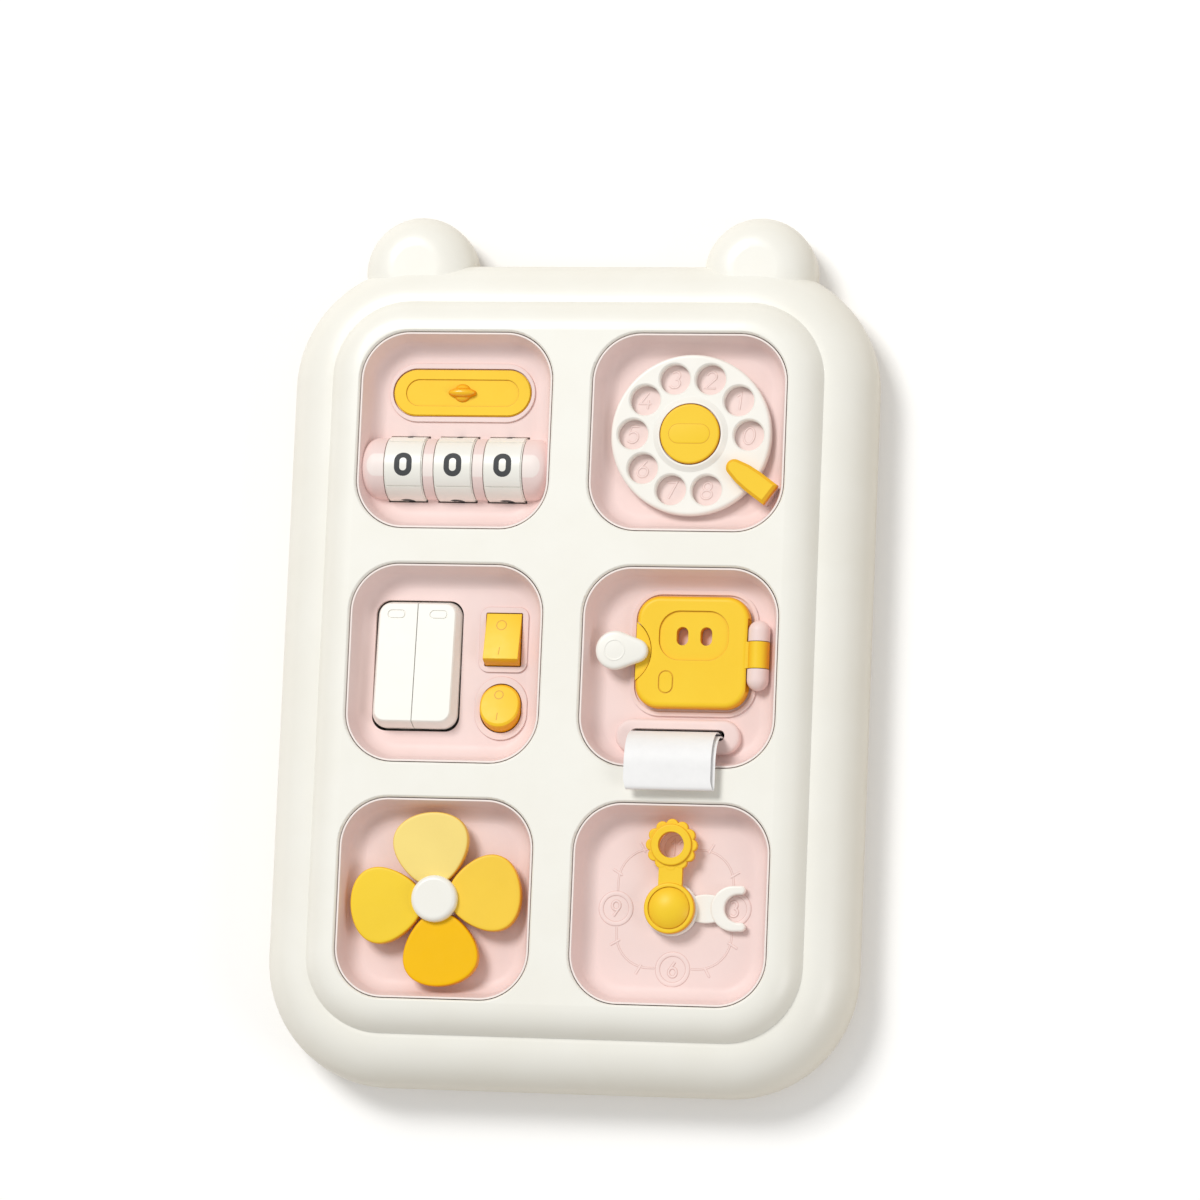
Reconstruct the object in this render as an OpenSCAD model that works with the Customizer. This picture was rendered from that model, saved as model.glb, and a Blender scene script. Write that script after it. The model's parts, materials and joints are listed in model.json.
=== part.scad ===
// Moulded busy board: a cat-eared casing with six windows, each with a toy set in a tray behind it.
// Board coordinates: x right, y towards the ears, z out of the front; the front plane is z = 0.

/* [Casing] */
// Width of the casing
board_w = 242; // [240:0.5:252]
// Height of the casing without its ears
board_h = 337; // [334:0.5:346]
// Thickness from the back face to the front plane
board_t = 43; // [42:0.5:52]
// Radius of the casing's corners seen from the front
corner_r = 51; // [46:0.5:56]
// Radius of the rounding between the front rim and the sides
rim_round = 19.6; // [17:0.1:20]
// Radius of the rounding between the sides and the back
back_round = 12.8; // [8:0.1:13]
// Height of the parting line above the back face
parting_h = 14; // [14:0.5:16]
// Wall thickness of the casing's two shells
wall = 2.4; // [2:0.1:3]
// Shift of the casing down from the window grid's centre
casing_drop = 1.6; // [0:0.1:3]

/* [Front panel] */
// Width of the raised panel beside the windows
panel_margin_x = 13.45; // [12.5:0.05:15]
// Height of the raised panel above and below the windows
panel_margin_y = 13.75; // [12.5:0.05:15]
// Corner radius of the raised panel
panel_r = 31.4; // [28:0.2:36]
// Height of the panel above the rim
panel_rise = 8.4; // [6:0.1:9]
// Radius of the panel's rounded edge
panel_edge_r = 14; // [12:0.5:16]

/* [Ears] */
// Distance of each ear's centre from the middle
ear_x = 70.6; // [60:0.2:76]
// Radius of an ear seen from the front
ear_r = 23; // [19:0.5:26]
// Distance of an ear's centre below the casing's top edge
ear_inset = 2.7; // [1:0.1:6]
// Radius of the rounding of an ear's front edge
ear_round = 14; // [10:0.5:14]
// Depth of an ear's front below the front plane
ear_drop = 14; // [13:0.5:15]

/* [Windows] */
// Distance between the two columns of windows
pitch_x = 96; // [95:0.2:98]
// Distance between the three rows of windows
pitch_y = 94.9; // [94:0.1:97]
// Width of a window
window_w = 79.9; // [79:0.1:81]
// Height of a window
window_h = 80.7; // [80:0.1:82]
// Corner radius of a window
window_r = 20; // [18:0.2:22]
// Radius of the window's rounded front edge
window_edge_r = 1.3; // [0.8:0.1:1.6]

/* [Trays] */
// Depth of a tray's floor below the front plane
tray_depth = 13; // [12.5:0.1:13.5]
// Thickness of a tray's floor and flange
tray_t = 2; // [1.6:0.1:2.4]
// Radius between a tray's walls and its floor
tray_fillet = 6; // [5:0.5:7]
// Draft of a tray's walls in degrees
tray_draft = 14; // [10:1:16]
// Gap between a tray's rim and the window's edge
tray_gap = 0.35; // [0.2:0.05:0.6]
// Radius of a tray screw's shank
tray_screw_r = 1.2; // [1:0.05:1.3]

/* [Combination lock] */
// Width of the yellow lock plate
lock_plate_w = 57.1; // [52:0.1:58]
// Height of the lock plate
lock_plate_h = 19.1; // [17:0.1:20]
// Travel of the slide knob to each side
knob_travel = 2; // [1:0.25:2.5]
// Radius of a digit wheel
wheel_r = 13.1; // [12.6:0.1:13.4]
// Width of a digit wheel
wheel_w = 15.7; // [14:0.1:16]
// Distance between the digit wheels
wheel_pitch = 20.6; // [20.2:0.1:21]
// Number of digit fields round a wheel
wheel_fields = 4; // [4:1:8]
// Radius of the wheels' axle
wheel_axle_r = 2; // [1.5:0.1:2.5]

/* [Telephone dial] */
// Radius of the dial
dial_r = 32.7; // [31:0.1:33]
// Thickness of the dial
dial_t = 4; // [3.6:0.1:4.2]
// Radius of a finger hole
finger_hole_r = 6.2; // [5.5:0.05:6.3]
// Radius of the circle that the finger holes lie on
finger_ring_r = 23.7; // [23:0.1:24]
// Number of finger holes
finger_holes = 9; // [5:1:9]
// Radius of the yellow cap in the middle of the dial
dial_cap_r = 12.15; // [11:0.05:12.5]
// Width of the finger stop
stop_w = 9.7; // [9:0.1:10.5]

/* [Switches] */
// Width of one wall switch rocker
wall_rocker_w = 17.3; // [16.6:0.1:18.4]
// Height of a wall switch rocker
wall_rocker_h = 51.8; // [50:0.2:53]
// Height of a wall rocker's face above the tray's floor at its middle
wall_rocker_rise = 6; // [5:0.2:7]
// Tilt of the wall rockers to each side in degrees
wall_rocker_tilt = 4.4; // [1.5:0.1:4.6]
// Width of the small rectangular rocker
small_rocker_w = 14.4; // [13.4:0.1:14.6]
// Length of the small rectangular rocker
small_rocker_h = 19.6; // [18:0.1:19.8]
// Tilt of the small rockers to each side in degrees
small_rocker_tilt = 15; // [10:1:16]
// Radius of the round rocker
round_rocker_r = 8.2; // [7.6:0.05:8.4]

/* [Door and strip] */
// Width of the door
door_w = 45.8; // [44:0.2:46]
// Height of the door
door_h = 45.2; // [44:0.2:46]
// Thickness of the door
door_t = 5.6; // [5:0.1:6]
// Radius of the door's hinge barrel
hinge_r = 4.4; // [4:0.1:4.6]
// Radius of the latch's big end
latch_r = 7.85; // [7:0.05:8]
// Distance from the latch's pivot to the middle of its tip
latch_reach = 8.7; // [8:0.1:9]
// Width of the pull strip
strip_w = 36.4; // [32:0.2:37]
// Thickness of the doubled pull strip
strip_t = 2.2; // [1.6:0.1:2.6]

/* [Fan] */
// Reach of a fan petal from the axle
petal_reach = 35.2; // [33:0.2:36]
// Greatest width of a petal
petal_w = 30.8; // [28:0.2:31]
// Thickness of a petal
petal_t = 4.2; // [3.6:0.1:4.4]
// Radius of the white hub cap
hub_cap_r = 9.4; // [8.6:0.1:10]

/* [Clock] */
// Length of the minute hand from the axle to its ring's centre
minute_len = 25.2; // [22:0.1:25.3]
// Radius of the scalloped ring
scallop_r = 10.5; // [9.6:0.1:10.8]
// Length of the hour hand from the axle to its jaw's centre
hour_len = 25.6; // [23:0.1:26]
// Outer radius of the hour hand's jaw
jaw_r = 9.3; // [8.4:0.1:9.5]
// Radius of the axle that carries both hands
hand_axle_r = 3; // [2.5:0.1:3.4]

/* [Hidden] */
$fn = 64;

// overlap that joins solids of one piece, and reach of a cut past its piece
eps = 0.01;
cut = 1;
// radial clearance of a pin that turns in a bore, and side clearance of pieces that move
run_gap = 0.06;
side_gap = 0.25;
// clearance between a fixed insert and its seat
seat_gap = 0.1;

// panel
panel_w = pitch_x + window_w + 2 * panel_margin_x;
panel_h = 2 * pitch_y + window_h + 2 * panel_margin_y;

// casing
board_low = board_h / 2 + casing_drop;
board_high = board_h / 2 - casing_drop;
ear_y = board_high - ear_inset;
bbox_mid_y = (ear_y + ear_r - board_low) / 2;
parting_z = parting_h - board_t;
panel_run = sqrt(pow(panel_edge_r, 2) - pow(panel_edge_r - panel_rise, 2));
cream = [0.98, 0.965, 0.92];
pink = [0.965, 0.855, 0.835];
yellow = [1, 0.83, 0.27];
steel = [0.72, 0.73, 0.75];
ivory = [0.99, 0.985, 0.96];

// screws between the casing's shells
rear_boss_r = 4.2;
rear_boss_end = -board_t + 10;
rear_screw_r = 1.45;
rear_head_r = 2.9;
rear_head_h = 2.2;
rear_head_z = -board_t + 7.5;
rear_screw_len = 14;

// trays
tray_w = window_w - 2 * tray_gap;
tray_h = window_h - 2 * tray_gap;
tray_r = window_r - tray_gap;
tray_top = -1.1;
tray_rim = 0.7;
tray_bottom = -tray_depth - tray_t;
// share of the space between two trays that each one's flange takes
flange_share = 0.22;
flange_out_x = flange_share * (pitch_x - tray_w);
flange_out_y = flange_share * (pitch_y - tray_h);
flange_z = -7;
flange_r = 8;
lug_x = tray_w / 2 - 2.4;
lug_y = tray_h / 2 - 2.4;
boss_r = 3;

// sharp-cornered or rounded plates
module rounded_rect(w, h, r) {
  difference() {
    square([w, h], center = true);
    for (x = [-1, 1], y = [-1, 1])
      translate([x * (w / 2 - r), y * (h / 2 - r)]) difference() {
        translate([x > 0 ? 0 : -2 * r, y > 0 ? 0 : -2 * r]) square(2 * r);
        circle(r);
      }
  }
}
// A pill outline: two half-discs and the straight stretch between them
module pill(w, h) {
  square([w - h, h], center = true);
  for (x = [-1, 1]) translate([x * (w - h) / 2, 0]) circle(h / 2);
}
// Sweeps a profile round a rounded rectangle. The profile's x runs outwards from the corner's centre.
module sweep_round(w, h, r) {
  ix = w - 2 * r;
  iy = h - 2 * r;
  for (q = [0:3]) {
    sx = q == 0 || q == 3 ? 1 : -1;
    sy = q < 2 ? 1 : -1;
    translate([sx * ix / 2, sy * iy / 2, 0]) rotate([0, 0, 90 * q]) rotate_extrude(angle = 90) children();
  }
  for (s = [0, 180]) rotate([0, 0, s]) {
    translate([ix / 2, iy / 2, 0]) rotate([90, 0, 0]) linear_extrude(iy) children();
    translate([-ix / 2, iy / 2, 0]) rotate([90, 0, 90]) linear_extrude(ix) children();
  }
}
// Half of a slab's outline: straight up from z0, then an arc of the given radius to the top at z1
module edge_profile(r, round, z0, z1) {
  translate([0, z0]) square([r - round, z1 - z0]);
  translate([r - round - eps, z0]) square([round + eps, z1 - round - z0]);
  intersection() {
    translate([r - round, z1 - round]) circle(round);
    translate([r - round, z1 - round]) square(round + cut);
  }
}
module round_slab(w, h, r, round, z0, z1) {
  translate([r - w / 2, r - h / 2, z0]) cube([w - 2 * r, h - 2 * r, z1 - z0]);
  sweep_round(w, h, r) edge_profile(r, round, z0, z1);
}
// The raised panel's slab: its edge falls along an arc that meets the rim in a crease
module panel_profile(r, edge, z0) {
  cx = r - panel_run;
  translate([0, z0]) square([cx, edge - panel_edge_r - z0]);
  intersection() {
    translate([cx, -panel_edge_r]) circle(edge);
    translate([cx - eps, z0]) square([r - (panel_edge_r - edge) - cx + eps, -z0]);
  }
}
module panel_slab(inset, z0) {
  r = panel_r;
  top = -inset;
  translate([r - panel_w / 2, r - panel_h / 2, z0]) cube([panel_w - 2 * r, panel_h - 2 * r, top - z0]);
  sweep_round(panel_w, panel_h, r) panel_profile(r, panel_edge_r - inset, z0);
}
// The piece's place on the board, and the centre of a window: column -1 or 1, row -1, 0 or 1
module on_board() translate([0, -bbox_mid_y, board_t]) children();
module in_window(column, row) on_board() translate([column * pitch_x / 2, row * pitch_y, 0]) children();
module at_windows() for (c = [-1, 1], r = [-1:1]) translate([c * pitch_x / 2, r * pitch_y, 0]) children();
module at_lugs() for (x = [-1, 1], y = [-1, 1]) translate([x * lug_x, y * lug_y, 0]) children();
module at_ears() for (x = [-1, 1]) translate([x * ear_x, ear_y, 0]) children();
rear_x = panel_w / 2 + 5.6;
rear_pitch = board_h * 0.217;
module at_rear_screws() {
  for (x = [-1, 1], k = [-1.5:1.5]) translate([x * rear_x, k * rear_pitch, 0]) children();
  translate([0, board_high - 10, 0]) children();
  translate([0, 10 - board_low, 0]) children();
}
// A pan-head screw that points to +z from under its seat at z = 0
module pan_screw(head_r, head_h, shank_r, len) {
  rotate_extrude() {
    translate([0, -head_h]) square([head_r - 0.6, head_h]);
    translate([0, -head_h + 0.6]) square([head_r, head_h - 0.6]);
    square([shank_r, len - 0.8]);
    polygon([[0, len - 0.8 - eps], [shank_r, len - 0.8 - eps], [shank_r - 0.6, len], [0, len]]);
  }
}
// Recess for a cross driver, seen from below the head
module driver_slots(w, t, d) {
  for (a = [0, 90]) rotate([0, 0, a]) translate([-w / 2, -t / 2, -cut]) cube([w, t, d + cut]);
}

// ---------- casing ----------
module window_cut(z0) {
  r = window_r;
  sweep_round(window_w, window_h, r) {
    translate([0, z0]) square([r, cut - z0]);
    difference() {
      translate([r - eps, -window_edge_r + 0.1]) square([0.75 + eps, window_edge_r - 0.1 + cut]);
      translate([r + window_edge_r, -window_edge_r + 0.1]) circle(window_edge_r);
    }
  }
  translate([r - window_w / 2, r - window_h / 2, z0]) cube([window_w - 2 * r, window_h - 2 * r, cut - z0]);
}
module ear(inset, round, z0, z1) rotate_extrude() edge_profile(ear_r - inset, round, z0, z1);
module front_shell() {
  w = wall;
  color(cream) on_board() difference() {
    union() {
      difference() {
        union() {
          translate([0, -casing_drop, 0])
            round_slab(board_w, board_h, corner_r, rim_round, parting_z, -panel_rise);
          panel_slab(0, -panel_rise - 2 * w);
          at_ears() ear(0, ear_round, parting_z, -ear_drop);
        }
        translate([0, -casing_drop, 0])
          round_slab(board_w - 2 * w, board_h - 2 * w, corner_r - w, rim_round - w,
            parting_z - cut, -panel_rise - w);
        panel_slab(w, -panel_rise - 3 * w);
        at_ears() ear(w, ear_round - w, parting_z - cut, -ear_drop - w);
      }
      at_windows() at_lugs() translate([0, 0, flange_z]) cylinder(r = boss_r, h = -flange_z - w / 2);
      // bosses that run up into the middle of the skin
      intersection() {
        translate([0, -casing_drop, 0]) round_slab(board_w - w, board_h - w, corner_r - w / 2,
          rim_round - w / 2, rear_boss_end - cut, -panel_rise - w / 2);
        at_rear_screws() translate([0, 0, rear_boss_end]) cylinder(r = rear_boss_r, h = -rear_boss_end);
      }
    }
    at_windows() window_cut(-3 * w);
    at_windows() at_lugs() translate([0, 0, flange_z - cut])
      cylinder(r = tray_screw_r + 0.05, h = -flange_z - w + cut);
    at_rear_screws() translate([0, 0, rear_boss_end - cut]) cylinder(r = rear_screw_r + 0.05, h = 12 + cut);
  }
}
module rear_cover() {
  w = wall;
  lip_gap = 0.2;
  lip_t = 1.4;
  lip_top = parting_z + 2;
  lip_low = parting_z - 6.5;
  lip_y = board_h / 2 - corner_r - 20;
  color(cream) on_board() difference() {
    union() {
      difference() {
        union() {
          translate([0, -casing_drop, 0]) mirror([0, 0, 1])
            round_slab(board_w, board_h, corner_r, back_round, -parting_z, board_t);
          at_ears() mirror([0, 0, 1]) ear(0, 9, -parting_z, board_t);
        }
        translate([0, -casing_drop, 0]) mirror([0, 0, 1])
          round_slab(board_w - 2 * w, board_h - 2 * w, corner_r - w, back_round - w,
            -parting_z - cut, board_t - w);
        at_ears() mirror([0, 0, 1]) ear(w, 9 - w, -parting_z - cut, board_t - w);
      }
      // lips that guide the front shell
      for (x = [-1, 1]) translate([x * (board_w / 2 - w - lip_gap - lip_t / 2), -casing_drop,
          (lip_top + lip_low) / 2])
        cube([lip_t, 2 * lip_y, lip_top - lip_low], center = true);
      for (y = [board_high - w - lip_gap - lip_t / 2, w + lip_gap + lip_t / 2 - board_low])
        translate([0, y, (lip_top + lip_low) / 2]) cube([70, lip_t, lip_top - lip_low], center = true);
      at_rear_screws() translate([0, 0, -board_t + w / 2])
        cylinder(r = rear_boss_r + 0.6, h = rear_boss_end + board_t - w / 2);
    }
    at_rear_screws() translate([0, 0, -board_t - cut]) {
      cylinder(r = rear_screw_r + 0.25, h = board_t);
      cylinder(r = rear_head_r + 0.4, h = rear_head_z + board_t + cut);
    }
  }
}
module rear_screws() {
  color(steel) on_board() at_rear_screws() translate([0, 0, rear_head_z]) difference() {
    pan_screw(rear_head_r, rear_head_h, rear_screw_r, rear_screw_len);
    translate([0, 0, -rear_head_h]) driver_slots(3.2, 0.8, 1.2);
  }
}
module tray_screws() {
  color(steel) on_board() at_windows() at_lugs() translate([0, 0, flange_z - tray_t])
    pan_screw(2.4, 1.6, tray_screw_r, 6);
}

// ---------- trays ----------
// The hollow of a tray: a rim, drafted walls and a fillet down to the floor
module pocket_profile() {
  r = tray_r - tray_rim;
  f = tray_fillet;
  floor_z = -tray_depth;
  // the drafted wall stands a hair outside the fillet, so that the two outlines cross cleanly
  hair = 0.005;
  foot_z = floor_z + f - (f + hair) * sin(tray_draft);
  cx = r - (f + hair) * cos(tray_draft) - (tray_top - foot_z) * tan(tray_draft);
  foot_x = cx + (f + hair) * cos(tray_draft);
  polygon([[0, floor_z], [cx, floor_z], [cx, floor_z + f], [foot_x, foot_z], [r, tray_top], [r, cut],
      [0, cut]]);
  intersection() {
    translate([cx, floor_z + f]) circle(f);
    translate([cx, floor_z - cut]) square([2 * f, f + cut]);
  }
}
module tray_pocket() {
  r = tray_r - tray_rim;
  w = tray_w - 2 * tray_rim;
  h = tray_h - 2 * tray_rim;
  sweep_round(w, h, r) pocket_profile();
  translate([r - w / 2, r - h / 2, -tray_depth]) cube([w - 2 * r, h - 2 * r, tray_depth + cut]);
}
// A tray's blank: the floor with its walls, and the flange that is screwed to the front shell
module tray_blank() {
  difference() {
    union() {
      translate([0, 0, tray_bottom]) linear_extrude(tray_top - tray_bottom)
        rounded_rect(tray_w, tray_h, tray_r);
      translate([0, 0, flange_z - tray_t]) linear_extrude(tray_t)
        rounded_rect(tray_w + 2 * flange_out_x, tray_h + 2 * flange_out_y, flange_r);
    }
    tray_pocket();
    at_lugs() translate([0, 0, flange_z - tray_t - cut]) cylinder(r = tray_screw_r + 0.2, h = tray_t + 2 * cut);
  }
}
// A raised frame on the tray's floor round an insert
module floor_plate(rise) translate([0, 0, -tray_depth - eps]) linear_extrude(rise + eps) children();
// A cut through the tray's floor
module floor_cut(top = 2) translate([0, 0, tray_bottom - cut]) linear_extrude(tray_t + top + cut) children();

// combination lock, in its window
lock_x = 0.05;
lock_y = 17.05;
lock_plate_top = -12.3;
lock_seat = -tray_depth - 0.8;
lock_frame = 0.9;
knob_stem_w = 3;
knob_stem_h = 1;
slot_w = knob_stem_w + 2 * knob_travel + 2 * side_gap;
slot_h = knob_stem_h + 2 * 0.2;
barrel_y = -14.5;
barrel_r = wheel_r - 0.5;
barrel_end = tray_w / 2 - 0.1;
barrel_round = 7;
barrel_bore = 35;
wheel_slot_r = wheel_r + 0.5;
wheel_slot_w = wheel_w + 2 * 0.35;
module barrel_solid() {
  translate([0, barrel_y, -tray_depth]) rotate([0, 90, 0]) rotate_extrude() {
    edge_profile(barrel_r, barrel_round, 0, barrel_end);
    mirror([0, 1, 0]) edge_profile(barrel_r, barrel_round, 0, barrel_end);
  }
}
module tray_lock() {
  color(pink) in_window(-1, 1) difference() {
    union() {
      tray_blank();
      translate([lock_x, lock_y, 0]) floor_plate(lock_frame) pill(lock_plate_w + 3.4, lock_plate_h + 4.8);
      intersection() {
        barrel_solid();
        translate([-tray_w / 2, barrel_y - barrel_r - cut, -tray_depth - 6])
          cube([tray_w, 2 * barrel_r + 2 * cut, 30]);
      }
    }
    translate([lock_x, lock_y, lock_seat]) linear_extrude(5)
      pill(lock_plate_w + 0.8, lock_plate_h + 0.8);
    translate([lock_x, lock_y, 0]) floor_cut() square([slot_w, slot_h], center = true);
    for (i = [-1:1]) translate([i * wheel_pitch, barrel_y, -tray_depth]) rotate([0, 90, 0])
      cylinder(r = wheel_slot_r, h = wheel_slot_w, center = true);
    translate([-barrel_bore, barrel_y, -tray_depth]) rotate([0, 90, 0])
      cylinder(r = wheel_axle_r + 0.02, h = 2 * barrel_bore);
  }
}
module lock_plate() {
  rim = 4.05;
  recess = 0.5;
  color(yellow) in_window(-1, 1) translate([lock_x, lock_y, 0]) difference() {
    union() {
      translate([0, 0, lock_seat]) linear_extrude(lock_plate_top - lock_seat - 0.5)
        pill(lock_plate_w, lock_plate_h);
      translate([0, 0, lock_plate_top - 0.5 - eps]) linear_extrude(0.5 + eps)
        pill(lock_plate_w - 0.8, lock_plate_h - 0.8);
    }
    translate([0, 0, lock_plate_top - recess]) linear_extrude(recess + cut)
      pill(lock_plate_w - 2 * rim - 2, lock_plate_h - 2 * rim);
    translate([0, 0, lock_seat - cut]) linear_extrude(5) square([slot_w, slot_h], center = true);
  }
}
// The thumb knob: a dome with a lens-shaped fin across it, on a stem through the slot
knob_dome_r = 3.7;
knob_fin_w = 12;
knob_fin_t = 2.6;
knob_low = -12.7;
knob_fin_top = -10.2;
module slide_knob() {
  lens_r = (pow(knob_fin_w / 2, 2) + pow(knob_fin_t / 2, 2)) / knob_fin_t;
  color(yellow) in_window(-1, 1) translate([lock_x, lock_y, 0]) union() {
    intersection() {
      translate([0, 0, knob_low]) sphere(knob_dome_r);
      translate([-5, -5, knob_low]) cube(10);
    }
    translate([0, 0, knob_low]) linear_extrude(knob_fin_top - knob_low) intersection_for(s = [-1, 1])
      translate([0, s * (lens_r - knob_fin_t / 2)]) circle(lens_r);
    translate([0, 0, tray_bottom - 1.8]) linear_extrude(knob_low - tray_bottom + 1.8 + eps)
      square([knob_stem_w, knob_stem_h], center = true);
  }
}
module slide_clip() {
  clip_t = 1.5;
  color(yellow) in_window(-1, 1) translate([lock_x, lock_y, tray_bottom - 0.2 - clip_t])
    linear_extrude(clip_t) difference() {
      square([9, 8], center = true);
      square([knob_stem_w, knob_stem_h], center = true);
    }
}
// A digit wheel: a shallow groove parts one field from the next, and a field faces the front
module digit_wheel(i) {
  step = 0.35;
  field = 360 / wheel_fields;
  turned = -5;
  color(ivory) in_window(-1, 1) translate([i * wheel_pitch, barrel_y, -tray_depth]) rotate([0, 90, 0])
    difference() {
      union() {
        cylinder(r = wheel_r, h = wheel_w - 1, center = true);
        cylinder(r = wheel_r - 0.5, h = wheel_w, center = true);
      }
      cylinder(r = wheel_axle_r + run_gap, h = wheel_w + cut, center = true);
      for (f = [0:wheel_fields - 1]) rotate([0, 0, 180 + turned + field * (f + 0.5)])
        translate([wheel_r, 0, 0]) cube([2 * step, 0.5, wheel_w + cut], center = true);
    }
}
module digit_wheel_1() digit_wheel(-1);
module digit_wheel_2() digit_wheel(0);
module digit_wheel_3() digit_wheel(1);
module wheel_axle() {
  color(steel) in_window(-1, 1) translate([-barrel_bore + 0.5, barrel_y, -tray_depth]) rotate([0, 90, 0])
    cylinder(r = wheel_axle_r, h = 2 * barrel_bore - 1);
}

// telephone dial
dial_top = -tray_depth + 5.6;
dial_low = dial_top - dial_t;
dial_hub_r = 7;
dial_stem_r = 4;
dial_well_r = 13.6;
dial_well_top = dial_low + 2.2;
finger_step = 36;
stop_angle = -36;
stop_tip_r = 20.1;
stop_end_r = 42;
stop_post_r = 3.4;
stop_post_x = 38;
stop_low = dial_top + 0.5;
stop_top = stop_low + 4.6;
collar_h = 1.3;
// low track on the tray's floor under the finger holes
track_in = dial_well_r + 0.9;
track_out = finger_ring_r + finger_hole_r + 0.6;
track_gap = 0.4;
module tray_dial() {
  block = 2 * stop_post_r + 1.6;
  color(pink) in_window(1, 1) difference() {
    union() {
      tray_blank();
      floor_plate(dial_low - track_gap + tray_depth) difference() {
        circle(track_out);
        circle(track_in);
      }
      // block that the finger stop's post stands in
      rotate([0, 0, stop_angle]) translate([stop_post_x - block / 2, -block / 2, tray_bottom])
        cube([block, block, stop_low - tray_bottom]);
    }
    floor_cut() circle(dial_stem_r + 0.1);
    rotate([0, 0, stop_angle]) translate([stop_post_x, 0, tray_bottom - cut])
      cylinder(r = stop_post_r + 0.05, h = tray_depth);
  }
}
module dial_wheel() {
  edge = 1.2;
  color(ivory) in_window(1, 1) difference() {
    union() {
      rotate_extrude() {
        edge_profile(dial_r, edge, dial_low, dial_top);
        translate([0, -tray_depth + 0.1]) square([dial_hub_r, dial_low + tray_depth]);
        polygon([[0, dial_top - eps], [dial_cap_r + 3.2, dial_top - eps],
            [dial_cap_r + 1.1, dial_top + collar_h], [0, dial_top + collar_h]]);
      }
    }
    translate([0, 0, dial_top - 0.8]) cylinder(r = dial_cap_r + 0.4, h = dial_t);
    translate([0, 0, -tray_depth - cut]) cylinder(r = dial_stem_r + run_gap, h = 2 * tray_depth);
    translate([0, 0, dial_low - cut]) difference() {
      cylinder(r = dial_well_r, h = dial_well_top - dial_low + cut);
      cylinder(r = dial_hub_r + 0.5, h = 10, center = true);
    }
    for (i = [0:finger_holes - 1]) rotate([0, 0, i * finger_step]) translate([finger_ring_r, 0, 0]) {
      translate([0, 0, dial_low - cut]) cylinder(r = finger_hole_r, h = dial_t + 2 * cut);
      translate([0, 0, dial_top - 0.6]) cylinder(r1 = finger_hole_r, r2 = finger_hole_r + 0.61, h = 0.61);
    }
  }
}
// The cap is one moulding with the stem that the dial turns on
module dial_cap() {
  color(yellow) in_window(1, 1) difference() {
    rotate_extrude() {
      edge_profile(dial_cap_r, 0.8, dial_top - 0.7, dial_top + collar_h + 1);
      translate([0, tray_bottom]) square([dial_stem_r, dial_top - 0.7 - tray_bottom + eps]);
    }
    translate([0, 0, tray_bottom - cut]) cylinder(r = 1.25, h = 8);
  }
}
// The flat spiral spring that turns the dial back, in the well under the dial
spring_turns = 3.5;
spring_t = 0.4;
spring_low = -tray_depth + 0.1;
function spiral(a, r0, rise) = (r0 + rise * a / 360) * [cos(a), sin(a)];
module dial_spring() {
  steps = 24 * spring_turns;
  r0 = dial_hub_r + 0.6;
  rise = (dial_well_r - 1.6 - r0) / spring_turns;
  inner = [for (i = [0:steps]) spiral(i * 15, r0, rise)];
  outer = [for (i = [steps:-1:0]) spiral(i * 15, r0 + spring_t, rise)];
  color(steel) in_window(1, 1) translate([0, 0, spring_low]) linear_extrude(2) polygon(concat(inner, outer));
}
module stop_outline(inset) {
  w = stop_w / 2 - inset;
  hull() {
    translate([stop_tip_r + 3.4, 0]) circle(w - 1.45, $fn = 32);
    translate([stop_tip_r + 8.4, 0]) circle(w - 0.35, $fn = 32);
    translate([stop_tip_r + 12.9, 0]) circle(w, $fn = 32);
    translate([stop_end_r - 6, -w]) square([6 - inset, 2 * w]);
  }
}
module finger_stop() {
  bevel = 1.2;
  color(yellow) in_window(1, 1) rotate([0, 0, stop_angle]) difference() {
    union() {
      hull() {
        translate([0, 0, stop_low]) linear_extrude(stop_top - stop_low - bevel) stop_outline(0);
        translate([0, 0, stop_low]) linear_extrude(stop_top - stop_low) stop_outline(bevel);
      }
      translate([stop_post_x, 0, tray_bottom]) cylinder(r = stop_post_r, h = stop_low - tray_bottom + 1);
    }
    translate([stop_post_x, 0, tray_bottom - cut]) cylinder(r = 1.25, h = 8);
  }
}

// switches
wall_x = -13.55;
wall_y = 0;
wall_gap = 0.3;
wall_hole_gap = 0.7;
wall_pivot_z = -17;
wall_bevel = 2;
wall_corner = 6;
wall_low = -3;
wall_pin_r = 1.5;
// the small rockers turn on pins that lie in the floor, inside the raised frames
small_x = 21.7;
small_y = 11.1;
small_pin_z = -tray_depth - 0.6;
small_pin_r = 0.9;
small_face = 4.3;
small_low = -3.5;
small_bevel = 0.7;
small_frame_w = 19.9;
small_frame_h = 26.4;
round_x = 21.7;
round_y = -16.75;
round_stretch = 1.2;
round_frame_w = 21.4;
round_frame_h = 25.6;
// the ends of a rocker keep within a circle round its pin, so that it fills its hole at every tilt
function end_reach(half) = sqrt(pow(half, 2) + pow(small_face, 2));
function end_span(reach, z) = 2 * sqrt(pow(reach, 2) - pow(z, 2)) - 0.1;
small_reach = end_reach(small_rocker_h / 2);
round_reach = end_reach(round_rocker_r + round_stretch / 2);
end_gap = 0.25;
small_pin_len = small_frame_w - 1.1;
round_pin_len = round_frame_w - 0.8;
module rocker_pin(x, y, z, r, len) {
  color(steel) in_window(-1, 0) translate([x, y, z]) rotate([0, 90, 0]) cylinder(r = r, h = len, center = true);
}
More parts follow.
